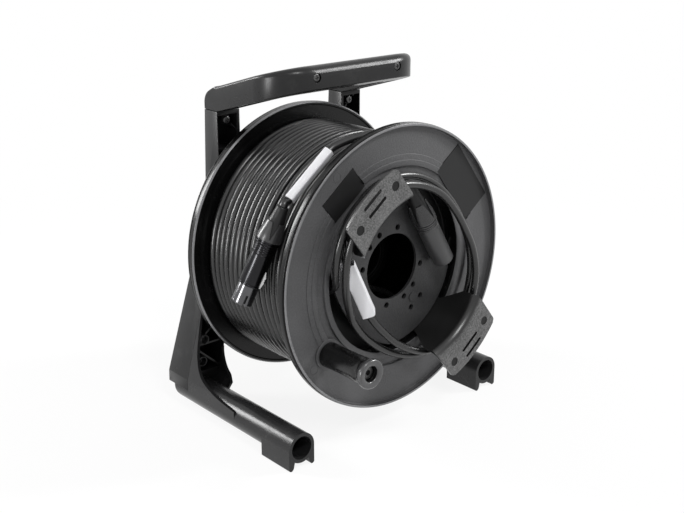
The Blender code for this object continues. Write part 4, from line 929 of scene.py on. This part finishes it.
def makePlugs():
    makeBoot("outer")
    makeShell("outer")
    makeNose()
    makeInsert("outer")
    makeLatch()
    makeBoot("inner")
    makeShell("inner")
    makePins(makeInsert("inner"))


# Barrel with its web, and the hub plate on it
hub = Settings(
    barrel=75.5, well=73, end=55.8, webBore=40, webFront=44, webBack=41.5,
    cableHole=(66, 187), cableHoleRadius=3.8,
    plateFront=55, plateBack=52.5, bore=27.5, longRadius=80, shortRadius=57, edge=67.8,
    postRadius=3.5, postCircle=59, postAngle=32, hole=2.5, circle=32.5, outerCircle=47,
    angles=(-8, -41, -64, -100), outerAngles=(-45, -61), boss=(4, 39.75, -53), bossHeight=0.8,
)


def makeBarrel():
    h = hub
    corners = [(h.barrel, -h.end, 0.3), (h.barrel, h.end, 0.3), (h.well, h.end, 0.3),
        (h.well, -h.webBack, 0.8), (h.webBore, -h.webBack, 0.3), (h.webBore, -h.webFront, 0.5),
        (h.well, -h.webFront, 1), (h.well, -h.end, 0.3)]
    piece = lathe("drumBarrel", rounded(corners, 4), 144)
    hole = circle(polar(*h.cableHole[:2]), h.cableHoleRadius)
    cut(piece, prisms("cableHole", [hole], "Y", -(h.webFront + 3), -(h.webBack - 3)))
    settle(smooth(piece), pocketLook, "drum_barrel")


def plateEdge(angle):
    # The plate is a disc that clears the retainers, drawn in beside them
    across = radians(angle - retainer.angles["upper"])
    oval = 1 / sqrt((sin(across) / hub.shortRadius) ** 2 + (cos(across) / hub.longRadius) ** 2)
    return min(oval, hub.edge)


def makeHubPlate():
    h = hub
    piece = prisms("hubPlate", [[polar(plateEdge(angle), angle) for angle in range(0, 360, 2)]], "Y",
        -h.plateFront, -h.plateBack)
    posts = [circle(polar(h.postCircle, middle + side * h.postAngle), h.postRadius)
        for middle in retainer.angles.values() for side in (-1, 1)]
    radius, away, angle = h.boss
    bosses = [circle(polar(away, angle + turn), radius) for turn in (0, 180)]
    combine(piece, "UNION", prisms("posts", posts, "Y", -(h.plateBack + 1.25), -(h.webFront + 0.3)),
        prisms("bosses", bosses, "Y", -(h.plateFront + h.bossHeight), -(h.plateBack + 1.25)))
    holes = [circle((0, 0), h.bore, 96)]
    for turn in (0, 180):
        holes += [circle(polar(h.circle, angle + turn), h.hole, 24) for angle in h.angles]
        holes += [circle(polar(h.outerCircle, angle + turn), h.hole, 24) for angle in h.outerAngles]
    cut(piece, prisms("plateHoles", holes, "Y", -(h.plateFront + 3), -(h.plateBack - 3)))
    soften(piece, 0.3)
    settle(piece, hubLook, "hub_plate")


# Retainers: a curved wall that rises from the web and bends outward into a slotted lip
retainer = Settings(
    angles=Settings(upper=128, lower=-52), inner=68.2, wall=2.4, root=44.3, lipTop=94, bend=6,
    reach=101, halfWidth=31, rootHalfWidth=18.5, corner=3, tab=8, taperStart=57.4,
    slotLength=21, slotWidth=2.6, slotOffsets=(6, 14), dimple=3.8, dimpleDepth=0.4,
    dimpleOffset=22, sweep=52, edgeSoftness=0.45,
)


def makeRetainer(name, angle):
    r = retainer
    inner = r.inner
    outer = inner + r.wall
    under = r.lipTop - r.wall
    bend = r.bend
    nook = (outer + bend, under - bend)
    profile = [(inner - r.tab, r.root), (outer, r.root), *arc(nook, bend, 180, 90, 8), (r.reach, under)]
    profile += [(r.reach, r.lipTop), *arc(nook, bend + r.wall, 90, 180, 10), (inner, r.root + r.wall)]
    profile += [(inner - r.tab, r.root + r.wall)]
    bm = bmesh.new()
    addLathe(bm, forward(profile), 32, r.sweep)
    piece = loose(name + "Retainer", bm)
    wide = r.halfWidth
    corner = r.corner
    edge = sqrt(r.reach ** 2 - wide ** 2)
    far = r.reach + corner
    side = [(inner - 2 * r.tab, wide)] + arc((edge - corner, wide - corner), corner, 90, 15, 8)
    side += [(far, wide - corner)]
    outline = side + [(x, -z) for x, z in reversed(side)]
    trim = prisms("lipTrim", [outline], "Y", -(r.lipTop + corner), -(r.root - corner))
    narrow = r.rootHalfWidth
    flank = [(narrow, -(r.root - corner)), (narrow, -r.taperStart), (wide + corner, -(under - bend)),
        (wide + corner, -(r.lipTop + corner))]
    flankOutline = [(y, z) for z, y in flank] + [(y, -z) for z, y in reversed(flank)]
    taper = prisms("flankTrim", [flankOutline], "X", inner - 2 * r.tab, far)
    combine(piece, "INTERSECT", trim, taper)
    half = r.slotWidth / 2
    end = r.slotLength / 2 - half
    slots = []
    for offset in r.slotOffsets:
        across = r.reach - offset
        slots.append(arc((across, end), half, 0, 180, 8) + arc((across, -end), half, 180, 360, 8))
    middle = (outer + bend + r.reach) / 2
    dimples = [circle((sqrt(middle ** 2 - r.dimpleOffset ** 2), side * r.dimpleOffset), r.dimple)
        for side in (-1, 1)]
    cut(piece, prisms("lipSlots", slots, "Y", -(r.lipTop + 3), -(under - 3)),
        prisms("lipDimples", dimples, "Y", -(r.lipTop + 3), -(r.lipTop - r.dimpleDepth)))
    soften(piece, r.edgeSoftness)
    floor = -(r.lipTop - r.dimpleDepth)
    # Painted shade: the walls of the lip slots take the near-black plastic; the dimple floors take it too,
    # smooth and dark
    for face in piece.data.polygons:
        x, y, z = face.center / mm
        away = min(abs(x - r.reach + offset) for offset in r.slotOffsets)
        inSlotShade = away < half + 0.1 and abs(z) < r.slotLength / 2 and abs(face.normal.y) < 0.5
        face.material_index = int(inSlotShade or (abs(y - floor) < 0.05 and face.normal.y < -0.9))
    settle(piece, retainerLook, "retainer_" + name,
        drumPlace @ Matrix.Rotation(radians(-angle), 4, "Y"), others=(slotShadeAndDimpleLook,))


# Bearing: a sleeve in the drum runs on the frame's spindle, held by a ring
bearing = Settings(
    # inner and outer radius, flange radius, front, flange front, back
    sleeve=(22.4, 27, 34, -17.9, 59.9, 66.9),
    # name, node, slot, inner and outer radius, front, back, inner and outer rounding
    tubes=(("spindleTube", "spindle", "dark_steel", 19, 22, -21, 83, 0.7, 0.7),
           ("spindleCollar", "spindle_collar", "dark_steel", 22.3, 33.6, 67.2, 69.7, 0.3, 0.4),
           ("retainingRing", "retaining_ring", "bright_steel", 22.3, 28.8, -20.7, -18.2, 0.3, 0.4)),
)


def makeBearing():
    inner, outer, wide, front, step, back = bearing.sleeve
    profile = rounded([(inner, front, 0.4), (outer, front, 0.4), (outer, step, 0.3), (wide, step, 0.4),
        (wide, back, 0.4), (inner, back, 0.4)], 3)
    turned("bearingSleeve", profile, bearingLook, "bearing_sleeve")
    for name, node, slot, inner, outer, front, back, near, far in bearing.tubes:
        corners = [(inner, front, near), (outer, front, far), (outer, back, far), (inner, back, near)]
        turned(name, rounded(corners, 3), bearingLook, node, body="frame")


# Screws
def makeScrew(node, body="frame", look=darkSteelLook):
    # A domed cross-head screw that enters along +Y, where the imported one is
    low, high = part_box(node)
    radius = (high.x - low.x) / 2 / mm
    deep = (high.y - low.y) / mm
    profile = [(0, deep), (1.6, deep), (1.6, 2), (radius, 2), (radius, 1.2)]
    profile += arc((radius - 1.1, 1.1), 1.1, -10, -80, 4) + [(radius * 0.4, 0), (0, 0)]
    piece = lathe(node.replace("_", " ").title().replace(" ", ""), profile, 32)
    arm = radius * 0.55
    cross = [(-arm, -0.4), (-0.4, -0.4), (-0.4, -arm)]
    for i in range(9):  # the other three arms, each a quarter turn on
        cross.append((-cross[i][1], cross[i][0]))
    cut(piece, prisms("crossRecess", [cross], "Y", -1, 1.1))
    place = Matrix.Translation(((low.x + high.x) / 2, low.y, (low.z + high.z) / 2))
    settle(smooth(piece), look, node, place, body)


def makeScrews():
    for index in (1, 2, 3):
        makeScrew("hub_screw_%d" % index, "drum", brightLook)
        for side in ("left", "right"):
            makeScrew("frame_screw_%s_%d" % (side, index))
    for name in ("upper", "lower"):
        makeScrew("retainer_screw_" + name, "drum")
    for side in ("left", "right"):
        makeScrew("grip_screw_" + side)
        for level in ("low", "high"):
            softCopy("bridge_screw_%s_%s" % (side, level), "bridgeScrew%s%s" % (side.title(), level.title()),
                darkSteelLook, 0.2)


# Frame: feet, uprights, bridge and handle. Heights are above the floor.
foot = Settings(
    axisX=106.4, axisZ=17, radius=12.5, bore=9.6, front=-67.6, rear=95.5, endRounding=7,
    padLength=35, legTip=2.2, frameFace=70, steps=72,
    innerEdge=((17.3, 93.9), (29.5, 84.15), (174.8, 55.7), (254.4, 55.7)),
    outerEdge=((17.3, 118.9), (29.5, 118.9), (174.8, 78.2), (254.4, 78.2)),
    gussetThickness=2.6,
    outerGusset=(66, 84, ((1, 0.083), (0.68, 0.12), (0.36, 0.19), (0.22, 0.26), (0.14, 0.35),
        (0.085, 0.46), (0.045, 0.62), (0.02, 0.8), (0.004, 1))),
    innerGusset=(22, 33, ((1, 0.24), (0.72, 0.36), (0.42, 0.5), (0.2, 0.68), (0.07, 0.85), (0.01, 1))),
)


def edgeAt(edge, height):
    for (z0, x0), (z1, x1) in zip(edge, edge[1:]):
        if z0 <= height <= z1:
            return x0 + (x1 - x0) * (height - z0) / (z1 - z0)


def gusset(side, which):
    # The plate leans with the upright's wall
    f = foot
    length, height, sweep = f[which + "Gusset"]
    edge = f[which + "Edge"]
    back = f.frameFace - 0.3
    low = f.axisZ + 0.3
    inward = -f.gussetThickness if which == "outer" else f.gussetThickness
    levels = [(low, back - length)]
    levels += [(low + up * height, back - out * length) for out, up in throughPoints(sweep, 5)]
    rings = []
    for z, front in levels:
        near = edgeAt(edge, z)
        far = near + inward
        rings.append([(side * x, y, z) for x, y in ((near, front), (near, back), (far, back), (far, front))])
    return skinned(which + "Gusset", rings)


def makeFoot(name, side):
    f = foot
    radius = f.radius
    z = f.axisZ
    x = side * f.axisX
    rear = f.rear
    turn = f.endRounding
    profile = [(0, rear), *arc((radius - turn, rear - turn), turn, 90, 0, 8), (radius, f.front), (0, f.front)]
    piece = lathe("foot" + name, profile, f.steps, (x, z))
    tip = f.legTip
    leg = [(-radius, 0, 0), (-radius, tip * 0.4 - z, 1.2), (-radius + 0.7 * tip, -z, 0.8),
        (-radius + 1.3 * tip, -z, 0.8), (-radius + 2 * tip, tip * 0.7 - z, 1.2),
        (-0.55 * radius, -0.8 * radius, 0)]
    corners = [(x + u, z + v, r) for u, v, r in leg] + [(x - u, z + v, r) for u, v, r in reversed(leg)]
    pad = prisms("pad", [rounded(corners, 4)], "Y", f.front, f.front + f.padLength)
    combine(piece, "UNION", pad, gusset(side, "outer"), gusset(side, "inner"))
    cut(piece, prisms("footBore", [circle((x, z), f.bore, f.steps)], "Y", f.front - 2, f.frameFace))
    soften(piece, 0.45)
    settle(piece, footLook, "foot_" + name.lower(), framePlace, "frame")


handle = Settings(
    halfWidth=78.2, width=22.5, back=87, face=70, front=-14.4, corner=36, slope=0.293,
    base=254.7, lift=20.35, armRounding=2.2, gripRounding=10.5, underRounding=0.8, skin=3, screwSpacing=85.4,
    screwRecess=3, steps=24,
)


def makeHandle():
    h = handle
    half = h.width / 2
    lift = h.lift

    def under(y):
        return h.base + max(h.face - y, 0) * h.slope

    middle = h.halfWidth - half
    centre = (-(h.halfWidth - h.corner), h.front + h.corner)
    way = [(-middle, h.back, -90), (-middle, h.face, -90)]
    bend = arc(centre, h.corner - half, 180, 270, h.steps)
    way += [(x, y, -90 + 90 * k / h.steps) for k, (x, y) in enumerate(bend)]
    way += [(-x, y, -angle) for x, y, angle in reversed(way)]
    rings = []
    for x, y, angle in way:
        top = h.gripRounding + (h.armRounding - h.gripRounding) * abs(angle) / 90
        section = rounded([(-half, 0, h.underRounding), (half, 0, h.underRounding), (half, lift, top),
            (-half, lift, top)], 6)
        overX = -sin(radians(angle))
        overY = cos(radians(angle))
        rings.append([(x + overX * across, y + overY * across, under(y + overY * across) + up)
            for across, up in section])
    piece = skinned("handleBar", rings)
    front = h.front
    back = h.back
    base = h.base
    far = front - back - 2.6
    profile = rounded([(back, base - 2.6, 0), (back, base + lift * 0.6, 12), (h.face + 1.7, base + lift, 18),
        (far, under(far) + lift, 0), (far, base - 2.6, 0)], 6)
    combine(piece, "INTERSECT", prisms("rearTrim", [profile], "X", -2 * h.halfWidth, 2 * h.halfWidth))
    skin = h.skin
    near = front + 0.85 * h.corner
    rear = h.face - skin
    hollow = [(rear, base - skin), (rear, under(rear) + lift - skin), (near, under(near) + lift - skin),
        (near, base - skin)]
    inner = h.halfWidth - h.width + skin
    outer = h.halfWidth - skin
    bm = bmesh.new()
    addPrism(bm, hollow, "X", inner, outer)
    addPrism(bm, hollow, "X", -outer, -inner)
    height = under(front) + lift * 0.45
    for side in (-1, 1):
        addLathe(bm, [(0, front - 3), (3.7, front - 3), (3.7, front + h.screwRecess),
            (1.9, front + h.screwRecess), (1.9, front + 11.3), (0, front + 11.3)], 32,
            at=(side * h.screwSpacing / 2, height))
    cut(piece, loose("handleHollows", bm))
    soften(piece, 0.5, 3)
    settle(piece, frameLook, "handle", framePlace, "frame")


# Inside each upright: a brace across the top screw post, and round collars on the two low ones
post = Settings(braceThickness=1.1, front=71.2, back=84.3, inner=58.2, outer=75.7, collar=4.6, collarBore=3.4,
    collarFront=67.8, collarBack=75)


def screwPlace(name, index):
    low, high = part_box("frame_screw_%s_%d" % (name.lower(), index))
    return (low.x + high.x) / 2 / mm, (low.z + high.z) / 2 / mm


def makePostDetails(name, side):
    p = post
    height = screwPlace(name, 3)[1]
    middle = (p.inner + p.outer) / 2
    half = p.braceThickness / 2 * sqrt(2)
    bm = bmesh.new()
    for start, end in ((p.inner, middle - 3.6), (middle + 3.6, p.outer)):
        brace = ((start, -half), (end, -half), (end, half), (start, half))
        addPrism(bm, [(side * x, height + x - middle + up) for x, up in brace], "Y", p.front, p.back)
    ring = rounded([(p.collarBore, p.collarFront, 0.3), (p.collar, p.collarFront, 0.4),
        (p.collar, p.collarBack, 0), (p.collarBore, p.collarBack, 0)], 3)
    for index in (1, 2):
        addLathe(bm, ring, 32, at=screwPlace(name, index))
    piece = smooth(loose("postDetails" + name, bm))
    settle(piece, frameLook, "upright_" + name.lower(), framePlace, "frame")


def makeFrame():
    for name, side in (("Left", -1), ("Right", 1)):
        makeFoot(name, side)
        softCopy("upright_" + name.lower(), "upright" + name, frameLook, 0.25, 8)
        makePostDetails(name, side)
    softCopy("bridge", "bridgePlate", frameLook, 0.4)
    makeHandle()


# Crank knob on its bolt
knob = Settings(length=49.5, seat=60.1, socket=6.2, socketDepth=9, bore=3.4, bolt=3, head=5.4, headHeight=3.6,
    hex=2.4, ringStart=43)


def makeKnob():
    k = knob
    length = k.length
    socket = k.socket
    side = throughPoints([(10.2, 0.5), (10.15, 3), (9.8, 17.3), (10, 29.7), (10.3, 37.6), (9.9, 41.4),
        (10.6, 43.6), (11.7, 45.4), (12, 47), (11.7, 48.6), (10.9, 49.4)], 6)
    profile = [(k.bore, 0), (9.7, 0)] + side
    profile += [(10.6, length), (socket * 1.25, 48.9), (socket * 1.08, 48.6), (socket, 47.9),
        (socket, length - k.socketDepth), (k.bore, length - k.socketDepth)]
    piece = lathe("crankKnob", [(r, -(k.seat + y)) for r, y in profile], 96, knobCentre)
    smooth(piece, 40)
    # The end ring, outside the socket, takes the paler plastic: part wear, part painted sheen
    for face in piece.data.polygons:
        away = (face.center.xz - Vector(knobCentre) * mm).length
        face.material_index = int(face.center.y < -(k.seat + k.ringStart) * mm and away > socket * 1.02 * mm)
    settle(piece, knobLook, "crank_knob", body="knob", others=(knobRingWearAndSheenLook,))
    head = length - k.socketDepth + 0.4
    top = head + k.headHeight
    corners = [(0, 0, 0), (k.bolt, 0, 0), (k.bolt, head, 0), (k.head, head, 0.2), (k.head, top, 0.6),
        (0, top, 0)]
    bolt = lathe("knobBolt", [(r, -(k.seat + y)) for r, y in rounded(corners, 4)], 48, knobCentre)
    hexagon = circle(knobCentre, k.hex, 6)
    cut(bolt, prisms("hexSocket", [hexagon], "Y", -(k.seat + top + 1), -(k.seat + top - 2.2)))
    settle(smooth(bolt), darkSteelLook, "knob_bolt")


makeCamera()
makeStage()
print("camera and stage made")

makeWinding()
makeStoredCable()
looseCable, looseExit, looseLength = makeLooseCable()
makeSleeve("outer", outerSleeveEnds)
makeSleeve("inner", innerSleeveEnds)
makePlugs()
tuple(drumPlace @ looseExit)
print("cable laid, loose end", round(looseLength * 1000), "mm")

makeFrontFlange()
makeRearFlange()
makeLabels()
print("flanges turned")

makeBarrel()
makeHubPlate()
for name, angle in retainer.angles.items():
    makeRetainer(name, angle)
makeBearing()
print("hub built")

makeFrame()
makeKnob()
makeScrews()
print("frame, knob and screws built")
